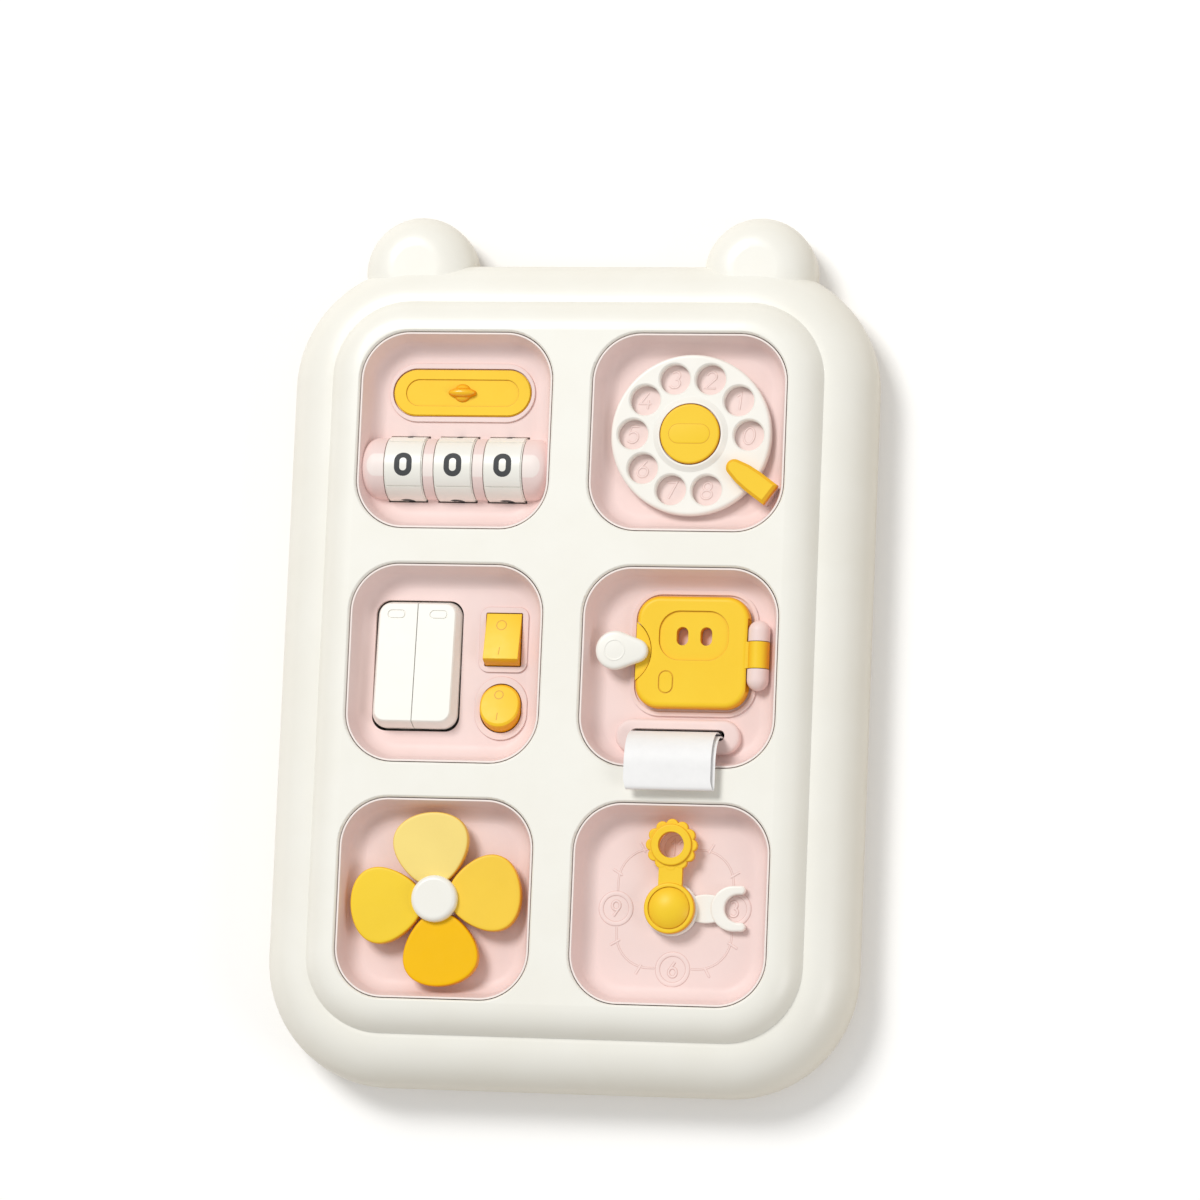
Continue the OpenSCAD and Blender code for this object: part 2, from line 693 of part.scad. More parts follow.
// Two ears under the tray's floor that hold a rocker's pin
module pin_ears(x, y, z, half, r, t) {
  for (s = [-1, 1]) translate([x + s * (half + t / 2), y, 0]) difference() {
    translate([-t / 2, -r - 2, z - r - 1.6]) cube([t, 2 * r + 4, tray_bottom + 0.5 - z + r + 1.6]);
    translate([0, 0, z]) rotate([0, 90, 0]) cylinder(r = r + 0.02, h = t + 2 * cut, center = true);
  }
}
wall_half = wall_rocker_w + wall_gap / 2;
module tray_switch() {
  frame = 0.8;
  color(pink) in_window(-1, 0) difference() {
    union() {
      tray_blank();
      translate([small_x, small_y, 0]) floor_plate(frame) rounded_rect(small_frame_w, small_frame_h, 4);
      translate([round_x, round_y, 0]) floor_plate(frame) rotate([0, 0, 90]) pill(round_frame_h, round_frame_w);
      pin_ears(wall_x, wall_y, wall_pivot_z, wall_half + 0.5, wall_pin_r, 3);
    }
    translate([wall_x, wall_y, 0]) floor_cut()
      rounded_rect(2 * wall_half + 2 * wall_hole_gap, wall_rocker_h + 2 * wall_hole_gap, wall_corner);
    translate([small_x, small_y, 0]) floor_cut()
      rounded_rect(small_rocker_w + 0.8, 2 * (small_reach + end_gap), 0.6);
    translate([round_x, round_y, 0]) floor_cut() rotate([0, 0, 90])
      pill(2 * (round_reach + end_gap), 2 * round_rocker_r + 0.7);
    // bores of the small rockers' pins
    translate([small_x, small_y, small_pin_z]) rotate([0, 90, 0])
      cylinder(r = small_pin_r + 0.02, h = small_pin_len + 0.1, center = true);
    translate([round_x, round_y, small_pin_z]) rotate([0, 90, 0])
      cylinder(r = small_pin_r + 0.02, h = round_pin_len + 0.1, center = true);
  }
}
// One wall rocker: drafted sides, rounded outer corners, and a recessed pill near its top
module wall_rocker_outline(inset) {
  difference() {
    rounded_rect(2 * wall_half - 2 * inset, wall_rocker_h - 2 * inset, wall_corner - inset);
    translate([-wall_half - cut, -wall_rocker_h]) square([wall_half + cut + wall_gap / 2, 2 * wall_rocker_h]);
  }
}
module wall_rocker(side) {
  face_z = -tray_depth + wall_rocker_rise - wall_pivot_z;
  skirt_z = 0.5 - tray_depth - wall_pivot_z;
  low_z = tray_bottom - wall_pivot_z;
  color(ivory) in_window(-1, 0) translate([wall_x, wall_y, wall_pivot_z])
    rotate([-wall_rocker_tilt, 0, 0]) mirror([side < 0 ? 1 : 0, 0, 0]) difference() {
      union() {
        hull() {
          translate([0, 0, skirt_z]) linear_extrude(eps) wall_rocker_outline(0, $fn = 32);
          translate([0, 0, face_z - 0.6]) linear_extrude(eps) wall_rocker_outline(wall_bevel - 0.5, $fn = 32);
          translate([0, 0, face_z - eps]) linear_extrude(eps) wall_rocker_outline(wall_bevel, $fn = 32);
        }
        translate([0, 0, low_z]) linear_extrude(skirt_z - low_z + eps) wall_rocker_outline(0);
        translate([wall_gap / 2, -4, wall_low]) cube([wall_rocker_w, 8, low_z - wall_low + eps]);
      }
      translate([wall_half / 2, wall_rocker_h / 2 - 6.2, face_z - 0.3]) linear_extrude(cut) difference() {
        pill(7.4, 3.6);
        pill(6.6, 2.8);
      }
      rotate([0, 90, 0]) cylinder(r = wall_pin_r + run_gap, h = 3 * wall_half, center = true);
    }
}
module wall_rocker_left() wall_rocker(-1);
module wall_rocker_right() wall_rocker(1);
module wall_rocker_pin() rocker_pin(wall_x, wall_y, wall_pivot_z, wall_pin_r, 2 * wall_half + 7);
// The small rockers stand tilted, with their upper end pressed in
module tilted(x, y) {
  in_window(-1, 0) translate([x, y, small_pin_z]) rotate([-small_rocker_tilt, 0, 0]) children();
}
module small_rocker() {
  color(yellow) tilted(small_x, small_y) difference() {
    intersection() {
      translate([0, 0, small_low]) linear_extrude(small_face - small_low)
        rounded_rect(small_rocker_w, 2 * small_reach + 0.2, 0.8);
      rotate([0, 90, 0]) cylinder(r = small_reach - 0.05, h = small_rocker_w + 2 * cut, center = true);
    }
    rotate([0, 90, 0]) cylinder(r = small_pin_r + run_gap, h = small_rocker_w + 2 * cut, center = true);
  }
}
module round_rocker() {
  d = 2 * round_rocker_r;
  color(yellow) tilted(round_x, round_y) difference() {
    hull() {
      translate([0, 0, small_face - eps]) linear_extrude(eps) rotate([0, 0, 90])
        pill(d + round_stretch - 2 * small_bevel, d - 2 * small_bevel, $fn = 48);
      for (z = [small_face - small_bevel, 1.4, -1.4, small_low]) translate([0, 0, z - eps])
        linear_extrude(eps) rotate([0, 0, 90]) pill(end_span(round_reach, z), d, $fn = 48);
    }
    rotate([0, 90, 0]) cylinder(r = small_pin_r + run_gap, h = d + 2 * cut, center = true);
  }
}
module small_rocker_pin() rocker_pin(small_x, small_y, small_pin_z, small_pin_r, small_pin_len);
module round_rocker_pin() rocker_pin(round_x, round_y, small_pin_z, small_pin_r, round_pin_len);

// door, latch and strip
door_x = 4.1;
door_y = 6.8;
door_r = 9.4;
door_top = -6.8;
door_low = door_top - door_t;
hinge_x = 30.8;
hinge_y = 6;
hinge_z = -9.2;
hinge_len = 28.4;
knuckle_len = 11.2;
hinge_pin_r = 1.5;
latch_x = -26.9;
latch_y = 6.8;
latch_tip_r = 4.7;
latch_stem_r = 4;
latch_collar_r = latch_stem_r + 1.5;
bite_r = 14.6;
strike_gap = 0.3;
strike_top = door_top - 0.6;
latch_low = strike_top + 0.3;
latch_top = latch_low + 3.6;
slot_x = -1;
slot_y = -26.3;
strip_slot_w = 38.4;
strip_slot_h = 4.5;
strip_x = -0.9;
strip_bend = 13;
strip_rise = 5.5;
strip_end_y = -49.4;
strip_low = -24;
strip_bar_r = 2;
strip_travel = 6;
module tray_door() {
  ridge = 0.9;
  hood = 3.5;
  barrel_top = (hinge_len - 2 * hinge_r) / 2;
  color(pink) in_window(1, 0) difference() {
    union() {
      tray_blank();
      translate([door_x, door_y, 0]) floor_plate(ridge) difference() {
        rounded_rect(door_w + 5.6, door_h + 5.6, door_r + 2.8);
        rounded_rect(door_w + 2.2, door_h + 2.2, door_r + 1.1);
        translate([latch_x - door_x, latch_y - door_y]) circle(latch_collar_r + side_gap);
      }
      // domed outer knuckles of the hinge
      for (s = [-1, 1]) translate([hinge_x, hinge_y, hinge_z]) {
        translate([0, s * barrel_top, 0]) sphere(hinge_r);
        rotate([90, 0, 0]) translate([0, 0, s > 0 ? -barrel_top : knuckle_len / 2])
          cylinder(r = hinge_r, h = barrel_top - knuckle_len / 2);
      }
      // raised housing of the strip's slot
      translate([slot_x, slot_y - 0.6, 0]) floor_plate(hood - 1) pill(50.4, 13.6);
      translate([slot_x, slot_y - 0.6, hood - 1 - eps]) floor_plate(1) pill(48.6, 11.8);
    }
    translate([slot_x, slot_y, 0]) floor_cut(6) pill(strip_slot_w, strip_slot_h);
    // room for the door's knuckle
    translate([hinge_x, hinge_y, hinge_z]) rotate([90, 0, 0]) {
      cylinder(r = hinge_r + 0.5, h = knuckle_len, center = true);
      cylinder(r = hinge_pin_r + 0.02, h = hinge_len - 3, center = true);
    }
    translate([latch_x, latch_y, 0]) floor_cut() circle(latch_stem_r + run_gap);
    translate([door_x - door_w / 2 + 2.5, latch_y, 0]) floor_cut() circle(1.6);
  }
}
// The door: rounded edges, a bite for the latch's strike, and the middle knuckle of the hinge
module door() {
  edge = 2.2;
  wing = knuckle_len - 2 * side_gap;
  color(yellow) in_window(1, 0) difference() {
    union() {
      difference() {
        translate([door_x, door_y, 0]) round_slab(door_w, door_h, door_r, edge, door_low, door_top);
        translate([latch_x, latch_y, door_low - cut]) cylinder(r = bite_r, h = door_t + 2 * cut);
        translate([hinge_x, hinge_y, hinge_z]) rotate([90, 0, 0])
          cylinder(r = hinge_r + 0.4, h = hinge_len + 1, center = true);
      }
      translate([hinge_x, hinge_y, hinge_z]) rotate([90, 0, 0]) cylinder(r = hinge_r, h = wing, center = true);
      translate([door_x + door_w / 2 - 3, hinge_y - wing / 2, door_low])
        cube([hinge_x - door_x - door_w / 2 + 3, wing, hinge_z + 2.2 - door_low]);
    }
    translate([hinge_x, hinge_y, hinge_z]) rotate([90, 0, 0])
      cylinder(r = hinge_pin_r + run_gap, h = wing + cut, center = true);
    // recessed panel with its two finger slots, and the small pill below it
    translate([door_x + 0.6, door_y + 6.6, door_top - 0.8]) linear_extrude(cut) rounded_rect(28.4, 20, 8.4);
    for (x = [-4.3, 5.4]) translate([door_x + x + 0.1, door_y + 6.4, door_low - cut])
      linear_extrude(door_t + 2 * cut) rotate([0, 0, 90]) pill(7.4, 4.7);
    translate([door_x - 10.2, door_y - 12.2, door_top - 0.3]) rotate([0, 0, 90])
      linear_extrude(cut) difference() {
        pill(9.2, 6);
        pill(8.4, 5.2);
      }
  }
}
module door_hinge_pin() {
  color(steel) in_window(1, 0) translate([hinge_x, hinge_y, hinge_z]) rotate([90, 0, 0])
    cylinder(r = hinge_pin_r, h = hinge_len - 4, center = true);
}
module latch_outline(inset) {
  hull() {
    circle(latch_r - inset, $fn = 48);
    translate([latch_reach, 0]) circle(latch_tip_r - inset, $fn = 32);
  }
}
module door_latch() {
  bevel = 0.9;
  color(ivory) in_window(1, 0) translate([latch_x, latch_y, 0]) difference() {
    union() {
      hull() {
        translate([0, 0, latch_low]) linear_extrude(latch_top - latch_low - bevel) latch_outline(0);
        translate([0, 0, latch_low]) linear_extrude(latch_top - latch_low) latch_outline(bevel);
      }
      translate([0, 0, -tray_depth + 0.1]) cylinder(r = latch_collar_r, h = latch_low + tray_depth);
      translate([0, 0, tray_bottom - 0.1]) cylinder(r = latch_stem_r, h = 6);
    }
    translate([0, 0, tray_bottom - cut]) cylinder(r = 1.25, h = 8);
  }
}
module washer_screw() pan_screw(5.6, 1.6, 1.2, 7);
module latch_screw() {
  color(steel) in_window(1, 0) translate([latch_x, latch_y, tray_bottom - 0.1]) washer_screw();
}
// The strike under the latch's tip fills the door's bite at a lower level
module latch_strike() {
  left = door_x - door_w / 2;
  color(yellow) in_window(1, 0) union() {
    translate([0, 0, -tray_depth]) linear_extrude(strike_top + tray_depth) intersection() {
      translate([latch_x, latch_y]) circle(bite_r - strike_gap);
      translate([left, door_y - door_h / 2]) square([20, door_h]);
    }
    translate([left + 2.5, latch_y, tray_bottom]) cylinder(r = 1.5, h = tray_t + eps);
  }
}
// The strip comes straight out of its slot, bends over and ends above the casing's front
module strip_path(t) {
  bend_z = strip_rise - strip_bend;
  bend_y = slot_y - strip_bend;
  translate([slot_y - t / 2, strip_low]) square([t, bend_z - strip_low + eps]);
  intersection() {
    translate([bend_y, bend_z]) difference() {
      circle(strip_bend + t / 2);
      circle(strip_bend - t / 2);
    }
    translate([bend_y, bend_z]) square(2 * strip_bend);
  }
  translate([strip_end_y + t / 2, strip_rise - t / 2]) square([bend_y - strip_end_y - t / 2 + eps, t]);
  translate([strip_end_y + t / 2, strip_rise]) circle(t / 2);
}
module pull_strip() {
  color("white") in_window(1, 0) difference() {
    translate([strip_x - strip_w / 2, 0, 0]) rotate([90, 0, 90]) linear_extrude(strip_w) strip_path(strip_t);
    translate([strip_x, slot_y, strip_low]) rotate([0, 90, 0])
      cylinder(r = strip_bar_r + 0.02, h = strip_w + 2 * cut, center = true);
  }
}
module strip_bar() {
  color(steel) in_window(1, 0) translate([slot_x, slot_y, strip_low]) rotate([0, 90, 0])
    cylinder(r = strip_bar_r, h = strip_slot_w + 6, center = true);
}

// fan
fan_turn = 7.5;
petal_low = -8.2;
petal_top = petal_low + petal_t;
petal_edge = 1.1;
fan_hub_r = 9;
fan_axle_r = 3;
fan_hub_low = -tray_depth + 0.1;
module tray_fan() {
  color(pink) in_window(-1, -1) difference() {
    tray_blank();
    floor_cut() circle(fan_axle_r + 0.02);
  }
}
// One disc of a petal's egg shape
module petal_disc(r, x, y) {
  translate([x, y, 0]) rotate_extrude($fn = 40) {
    square([r - petal_edge, petal_t]);
    translate([0, petal_edge]) square([r, petal_t - 2 * petal_edge]);
  }
}
module fan_petal(i) {
  belly_r = petal_w / 2 - 0.4;
  shoulder_r = 10.5;
  shoulder = petal_w / 2 - shoulder_r;
  color([[1, 0.89, 0.52], [1, 0.82, 0.24], [0.99, 0.77, 0.02], [1, 0.84, 0.22]][i])
    in_window(-1, -1) translate([0, 0, petal_low]) rotate([0, 0, 90 - 90 * i + fan_turn]) difference() {
      hull() {
        petal_disc(belly_r, petal_reach - belly_r, 0);
        for (s = [-1, 1]) petal_disc(shoulder_r, petal_reach - shoulder_r - 1.1, s * shoulder);
        petal_disc(10.6, 13.6, 0);
        petal_disc(4.6, 5.6, 0);
      }
      translate([0, 0, -cut]) cylinder(r = fan_axle_r + 2.2, h = petal_t + 2 * cut);
      // the roots of the four petals meet on the diagonals
      for (s = [-1, 1]) rotate([0, 0, s * 45]) translate([-30, s > 0 ? -0.05 : -30 + 0.05, -cut])
        cube([60, 30, petal_t + 2 * cut]);
    }
}
module fan_petal_1() fan_petal(0);
module fan_petal_2() fan_petal(1);
module fan_petal_3() fan_petal(2);
module fan_petal_4() fan_petal(3);
module fan_hub() {
  color(ivory) in_window(-1, -1) difference() {
    union() {
      translate([0, 0, fan_hub_low]) cylinder(r = 5.2, h = petal_low - fan_hub_low);
      translate([0, 0, petal_low - 2]) cylinder(r = fan_hub_r - 0.4, h = 2);
      translate([0, 0, petal_low - eps]) cylinder(r = fan_axle_r + 2, h = petal_t + eps);
    }
    translate([0, 0, fan_hub_low - cut]) cylinder(r = fan_axle_r + run_gap, h = 20);
  }
}
module fan_axle() {
  color(steel) in_window(-1, -1) difference() {
    union() {
      translate([0, 0, tray_bottom - 1.6]) cylinder(r = 7, h = 1.6);
      translate([0, 0, tray_bottom - eps]) cylinder(r = fan_axle_r, h = petal_top + 0.1 - tray_bottom + eps);
    }
    translate([0, 0, petal_top - 7]) cylinder(r = 1.25, h = 10);
  }
}
module fan_screw() {
  color(steel) in_window(-1, -1) translate([0, 0, petal_top + 0.1]) mirror([0, 0, 1])
    pan_screw(4.2, 1.2, 1.2, 6);
}
module fan_cap() {
  cap_top = petal_top + 3.4;
  color(ivory) in_window(-1, -1) difference() {
    rotate_extrude() edge_profile(hub_cap_r, 2, petal_top, cap_top);
    translate([0, 0, petal_top - cut]) cylinder(r = 5, h = cut + 1.8);
  }
}

// clock
hour_low = -tray_depth + 0.6;
hour_top = hour_low + 3.2;
minute_low = hour_top + 0.5;
minute_top = minute_low + 3.2;
hub_plate_r = 10.2;
hour_plate_r = 10.8;
ring_hole_r = 5.2;
ring_ridge_r = 8.3;
jaw_in = 5.4;
jaw_tip = 3;
hour_arm_r = 14;
hour_arm_half = 6;
hour_arm_mid = 14.5;
hour_arm_step = 0.5;
clock_x = -0.95;
clock_y = -1.05;
module clock_axis() in_window(1, -1) translate([clock_x, clock_y, 0]) children();
module tray_clock() {
  color(pink) in_window(1, -1) difference() {
    tray_blank();
    translate([clock_x, clock_y, 0]) floor_cut() circle(hand_axle_r + 0.1);
  }
}
module minute_hand() {
  arm_w = 9.6;
  scallops = 12;
  low = minute_low;
  color(yellow) clock_axis() difference() {
    union() {
      rotate_extrude() edge_profile(hub_plate_r, 0.8, low, minute_top);
      translate([-arm_w / 2, 0, low]) cube([arm_w, minute_len - ring_hole_r - 1, minute_top - low - 0.6]);
      translate([0, minute_len, low]) {
        rotate_extrude() edge_profile(ring_ridge_r, 0.6, 0, minute_top - low + 0.6);
        for (i = [0:scallops - 1]) rotate([0, 0, i * 360 / scallops]) translate([scallop_r - 2.6, 0, 0])
          rotate_extrude($fn = 32) edge_profile(2.6, 0.6, 0, minute_top - low - 0.5);
      }
    }
    translate([0, 0, low - cut]) cylinder(r = hand_axle_r + run_gap, h = 20);
    translate([0, minute_len, low - cut]) cylinder(r = ring_hole_r, h = 20);
    translate([0, 0, minute_top - 0.6]) cylinder(r = 8.5, h = 5);
  }
}
// The hour hand: hub disc and a jaw that opens away from the axle, and a lower arm that swells between them
module hour_outline(inset) {
  out = jaw_r - inset;
  in = jaw_in + inset;
  circle(hour_plate_r - inset);
  translate([hour_len, 0]) {
    difference() {
      intersection() {
        union() {
          circle(out);
          translate([0, -out]) square([jaw_r, 2 * out]);
        }
        translate([-2 * jaw_r, -2 * jaw_r]) square([2 * jaw_r + jaw_tip, 4 * jaw_r]);
      }
      circle(in);
      translate([0, -in]) square([2 * jaw_r, 2 * in]);
    }
    for (s = [-1, 1]) translate([jaw_tip, s * (jaw_r + jaw_in) / 2]) circle((out - in) / 2);
  }
}
module hour_arm(inset) {
  difference() {
    intersection_for(s = [-1, 1]) translate([hour_arm_mid, s * (hour_arm_r - hour_arm_half)])
      circle(hour_arm_r - inset);
    translate([hour_len, 0]) circle((jaw_r + jaw_in) / 2);
  }
}
module hour_hand() {
  bevel = 0.6;
  arm_h = hour_top - hour_low - hour_arm_step;
  color(ivory) clock_axis() translate([0, 0, hour_low]) difference() {
    union() {
      linear_extrude(hour_top - hour_low - bevel) hour_outline(0);
      linear_extrude(hour_top - hour_low) hour_outline(bevel);
      linear_extrude(arm_h - bevel) hour_arm(0);
      linear_extrude(arm_h) hour_arm(bevel);
    }
    translate([0, 0, -cut]) cylinder(r = hand_axle_r + run_gap, h = 20);
  }
}
module clock_cap() {
  dome_r = 8.2;
  rise = 2.6;
  ball = (dome_r * dome_r + rise * rise) / (2 * rise);
  color(yellow) clock_axis() difference() {
    union() {
      intersection() {
        translate([0, 0, minute_top - 0.2 + rise - ball]) sphere(ball);
        translate([0, 0, minute_top - 0.2]) cylinder(r = dome_r + cut, h = 20);
      }
      translate([0, 0, minute_top - 0.5]) cylinder(r = dome_r, h = 0.3 + eps);
      translate([0, 0, tray_bottom]) cylinder(r = hand_axle_r, h = minute_top - 0.4 - tray_bottom);
    }
    translate([0, 0, tray_bottom - cut]) cylinder(r = 1.25, h = 8);
  }
}
// Flanged screws from behind hold the dial cap, the clock cap and the finger stop
module axle_screws() {
  color(steel) {
    in_window(1, 1) translate([0, 0, tray_bottom]) washer_screw();
    clock_axis() translate([0, 0, tray_bottom]) washer_screw();
    in_window(1, 1) rotate([0, 0, stop_angle]) translate([stop_post_x, 0, tray_bottom]) washer_screw();
  }
}

front_shell();
rear_cover();
rear_screws();
tray_screws();
tray_lock();
tray_dial();
tray_switch();
tray_door();
tray_fan();
tray_clock();
lock_plate();
slide_knob();
slide_clip();
digit_wheel_1();
digit_wheel_2();
digit_wheel_3();
wheel_axle();
dial_wheel();
dial_cap();
dial_spring();
finger_stop();
axle_screws();
wall_rocker_left();
wall_rocker_right();
wall_rocker_pin();
small_rocker();
small_rocker_pin();
round_rocker();
round_rocker_pin();
door();
door_hinge_pin();
door_latch();
latch_screw();
latch_strike();
pull_strip();
strip_bar();
fan_petal_1();
fan_petal_2();
fan_petal_3();
fan_petal_4();
fan_hub();
fan_axle();
fan_screw();
fan_cap();
minute_hand();
hour_hand();
clock_cap();
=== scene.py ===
import bpy, bmesh, json, math
from mathutils import Matrix, Vector


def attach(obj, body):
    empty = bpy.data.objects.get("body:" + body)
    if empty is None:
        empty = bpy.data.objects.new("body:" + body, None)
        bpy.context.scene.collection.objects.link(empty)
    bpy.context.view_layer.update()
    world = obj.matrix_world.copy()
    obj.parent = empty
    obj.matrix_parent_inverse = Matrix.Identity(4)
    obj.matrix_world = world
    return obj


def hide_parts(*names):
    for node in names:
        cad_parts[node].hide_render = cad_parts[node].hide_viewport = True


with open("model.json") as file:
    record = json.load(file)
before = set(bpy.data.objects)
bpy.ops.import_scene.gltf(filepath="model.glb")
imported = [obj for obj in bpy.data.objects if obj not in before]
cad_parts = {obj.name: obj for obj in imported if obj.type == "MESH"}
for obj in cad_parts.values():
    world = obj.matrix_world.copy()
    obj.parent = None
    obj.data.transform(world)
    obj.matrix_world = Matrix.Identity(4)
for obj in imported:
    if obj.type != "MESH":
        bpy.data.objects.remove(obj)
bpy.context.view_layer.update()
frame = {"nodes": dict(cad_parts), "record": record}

nodes = frame["nodes"]
SLOT_OF = {part["node"]: part["material_slot"] for part in frame["record"]["subparts"]}
BODY_OF = {n: body for body, names in frame["record"]["behaviour"]["bodies"].items() for n in names}

# ---------- places ----------
# Lengths are board millimetres: x to the right, y towards the ears, z out of the front, 0 on the front plane.
MM = 0.001
MID_Y = 8.55                    # from the middle of the windows to the frame's origin
BOARD_T = 43.0                  # from the back to the front plane
PITCH_X, PITCH_Y = 96.0, 94.9   # from window to window
FLOOR_Z = -13.0                 # the floors of the trays


def P(x, y, z):
    """Board millimetres to the metres of the row frame."""
    return Vector((x, y - MID_Y, z + BOARD_T)) * MM


def window(col, row):
    """The middle of a window: col is -1 or 1 from the left, row is -1, 0 or 1 from below."""
    return col * PITCH_X / 2, row * PITCH_Y


LOCK_X, LOCK_Y = window(-1, 1)
DIAL_X, DIAL_Y = window(1, 1)
SWITCH_X, SWITCH_Y = window(-1, 0)
DOOR_X, DOOR_Y = window(1, 0)
FAN_X, FAN_Y = window(-1, -1)
CLOCK_X, CLOCK_Y = window(1, -1)
PLATE_X, PLATE_Y = LOCK_X + 0.05, LOCK_Y + 17.05        # the lock plate
ROCKER_X = SWITCH_X + 21.7                              # the two small rockers, one above the other
SMALL_Y, ROUND_Y = SWITCH_Y + 11.1, SWITCH_Y - 16.75


# ---------- material nodes ----------
def srgb(r, g, b):
    """A colour of 0 to 255 a channel, as the linear colour of a socket."""
    def linear(c):
        c /= 255
        return c / 12.92 if c <= 0.04045 else ((c + 0.055) / 1.055) ** 2.4
    return linear(r), linear(g), linear(b), 1.0


def scaled(colour, factor):
    return srgb(*[c * factor for c in colour])


def add(tree, kind, inputs=None, **settings):
    """Adds a node. Its inputs, by name or number, get a plain value or a link from another node's output."""
    node = tree.nodes.new("ShaderNode" + kind)
    for key, value in settings.items():
        setattr(node, key, value)
    for key, value in (inputs or {}).items():
        if isinstance(value, bpy.types.NodeSocket):
            tree.links.new(value, node.inputs[key])
        else:
            node.inputs[key].default_value = value
    return node


def noise(tree, coord, scale, detail=3, rough=0.55):
    inputs = {"Vector": coord, "Scale": scale, "Detail": detail, "Roughness": rough}
    return add(tree, "TexNoise", inputs).outputs["Fac"]


def map_range(tree, value, lo, hi, a=0.0, b=1.0):
    inputs = {"Value": value, "From Min": lo, "From Max": hi, "To Min": a, "To Max": b}
    return add(tree, "MapRange", inputs).outputs["Result"]


def spread(tree, value, a=0.0, b=1.0):
    """The middle part of a noise, stretched from a to b."""
    return map_range(tree, value, 0.3, 0.7, a, b)


def mix_colour(tree, factor, a, b):
    return add(tree, "Mix", {"Factor": factor, "A": a, "B": b}, data_type="RGBA").outputs["Result"]


def height_of(tree, vector):
    return add(tree, "SeparateXYZ", {0: vector}).outputs["Z"]


def bump(tree, strength, distance, height, normal=None):
    inputs = {"Strength": strength, "Distance": distance, "Height": height}
    if normal:
        inputs["Normal"] = normal
    return add(tree, "Bump", inputs).outputs["Normal"]


def empty_tree(owner):
    owner.use_nodes = True
    owner.node_tree.nodes.clear()
    return owner.node_tree


def principled(tree, inputs):
    bsdf = add(tree, "BsdfPrincipled", inputs)
    add(tree, "OutputMaterial", {"Surface": bsdf.outputs["BSDF"]})


# ---------- materials ----------
MOTTLE, SPECK, SMEAR, SINK, GRAIN = 38, 1500, 220, 55, 2600     # noise scales of moulded plastic, per metre
SINK_DEPTH, GRAIN_DEPTH = 0.0006, 0.00006                       # its sink waves and its grain, in metres
FINE_DEPTH = 0.00005                                            # turning marks and weave, in metres
ROUGH_SPREAD = 0.045
# The side colour is painted shade on steep faces.
STEEP_FROM, STEEP_TO = 0.96, 0.4    # the upright part of the normal where the side colour begins and is full


def plastic(name, colour, rough=0.34, round_mm=0.35, coat=0.2, gloss=0.5, warm=None, lip_highlight=None, side=None):
    """Moulded plastic: a faint mottle, the fine grain of the mould, shallow sink waves, and rounded edges.
    Given a lip highlight (z0, z1, colour), it turns paler between these heights: a painted highlight on the
    thin lip of a moulded tray.
    With side=colour the steep faces are deeper in colour: painted shade, as the photograph shows it on the
    yellow toys."""
    mat = bpy.data.materials.new(name)
    tree = empty_tree(mat)
    coord = add(tree, "TexCoord").outputs
    place = coord["Object"]
    dark = srgb(*warm) if warm else scaled(colour, 0.975)
    light = srgb(*[min(255, c * 1.008 + 1) for c in colour])
    cloud = map_range(tree, noise(tree, place, MOTTLE, 3, 0.5), 0.35, 0.65)
    speck = spread(tree, noise(tree, place, SPECK, 2, 0.6), 0.35, 0.65)
    paint = mix_colour(tree, speck, mix_colour(tree, cloud, dark, light), srgb(*colour))
    # painted highlight: paler between two heights, on the lip of a tray
    if lip_highlight:
        low, high, pale = lip_highlight
        paint = mix_colour(tree, map_range(tree, height_of(tree, place), low, high), paint, srgb(*pale))
    # painted shade: steep faces turn to the side colour
    if side:
        steep = map_range(tree, height_of(tree, coord["Normal"]), STEEP_FROM, STEEP_TO)
        paint = mix_colour(tree, steep, paint, srgb(*side))
    smear = spread(tree, noise(tree, place, SMEAR, 4, 0.6), rough - ROUGH_SPREAD, rough + ROUGH_SPREAD)
    edge = add(tree, "Bevel", {"Radius": round_mm * MM}, samples=6).outputs["Normal"]
    wave = bump(tree, 0.06, SINK_DEPTH, noise(tree, place, SINK, 2, 0.4), edge)
    fine = bump(tree, 0.05, GRAIN_DEPTH, noise(tree, place, GRAIN, 3, 0.6), wave)
    principled(tree, {"Base Color": paint, "Roughness": smear, "Normal": fine, "IOR": 1.49,
                      "Specular IOR Level": gloss, "Coat Weight": coat, "Coat Roughness": 0.22})
    return mat


def metal(name, colour):
    """Turned steel: fine marks, drawn out by a stretched noise."""
    mat = bpy.data.materials.new(name)
    tree = empty_tree(mat)
    place = add(tree, "TexCoord").outputs["Object"]
    drawn = add(tree, "Mapping", {"Vector": place, "Scale": (1, 1, 14)}).outputs["Vector"]
    brush = noise(tree, drawn, 900, 4, 0.7)
    paint = mix_colour(tree, spread(tree, brush), scaled(colour, 0.86), srgb(*colour))
    principled(tree, {"Base Color": paint, "Roughness": spread(tree, brush, 0.24, 0.42), "Metallic": 1.0,
                      "Normal": bump(tree, 0.12, FINE_DEPTH, brush)})
    return mat


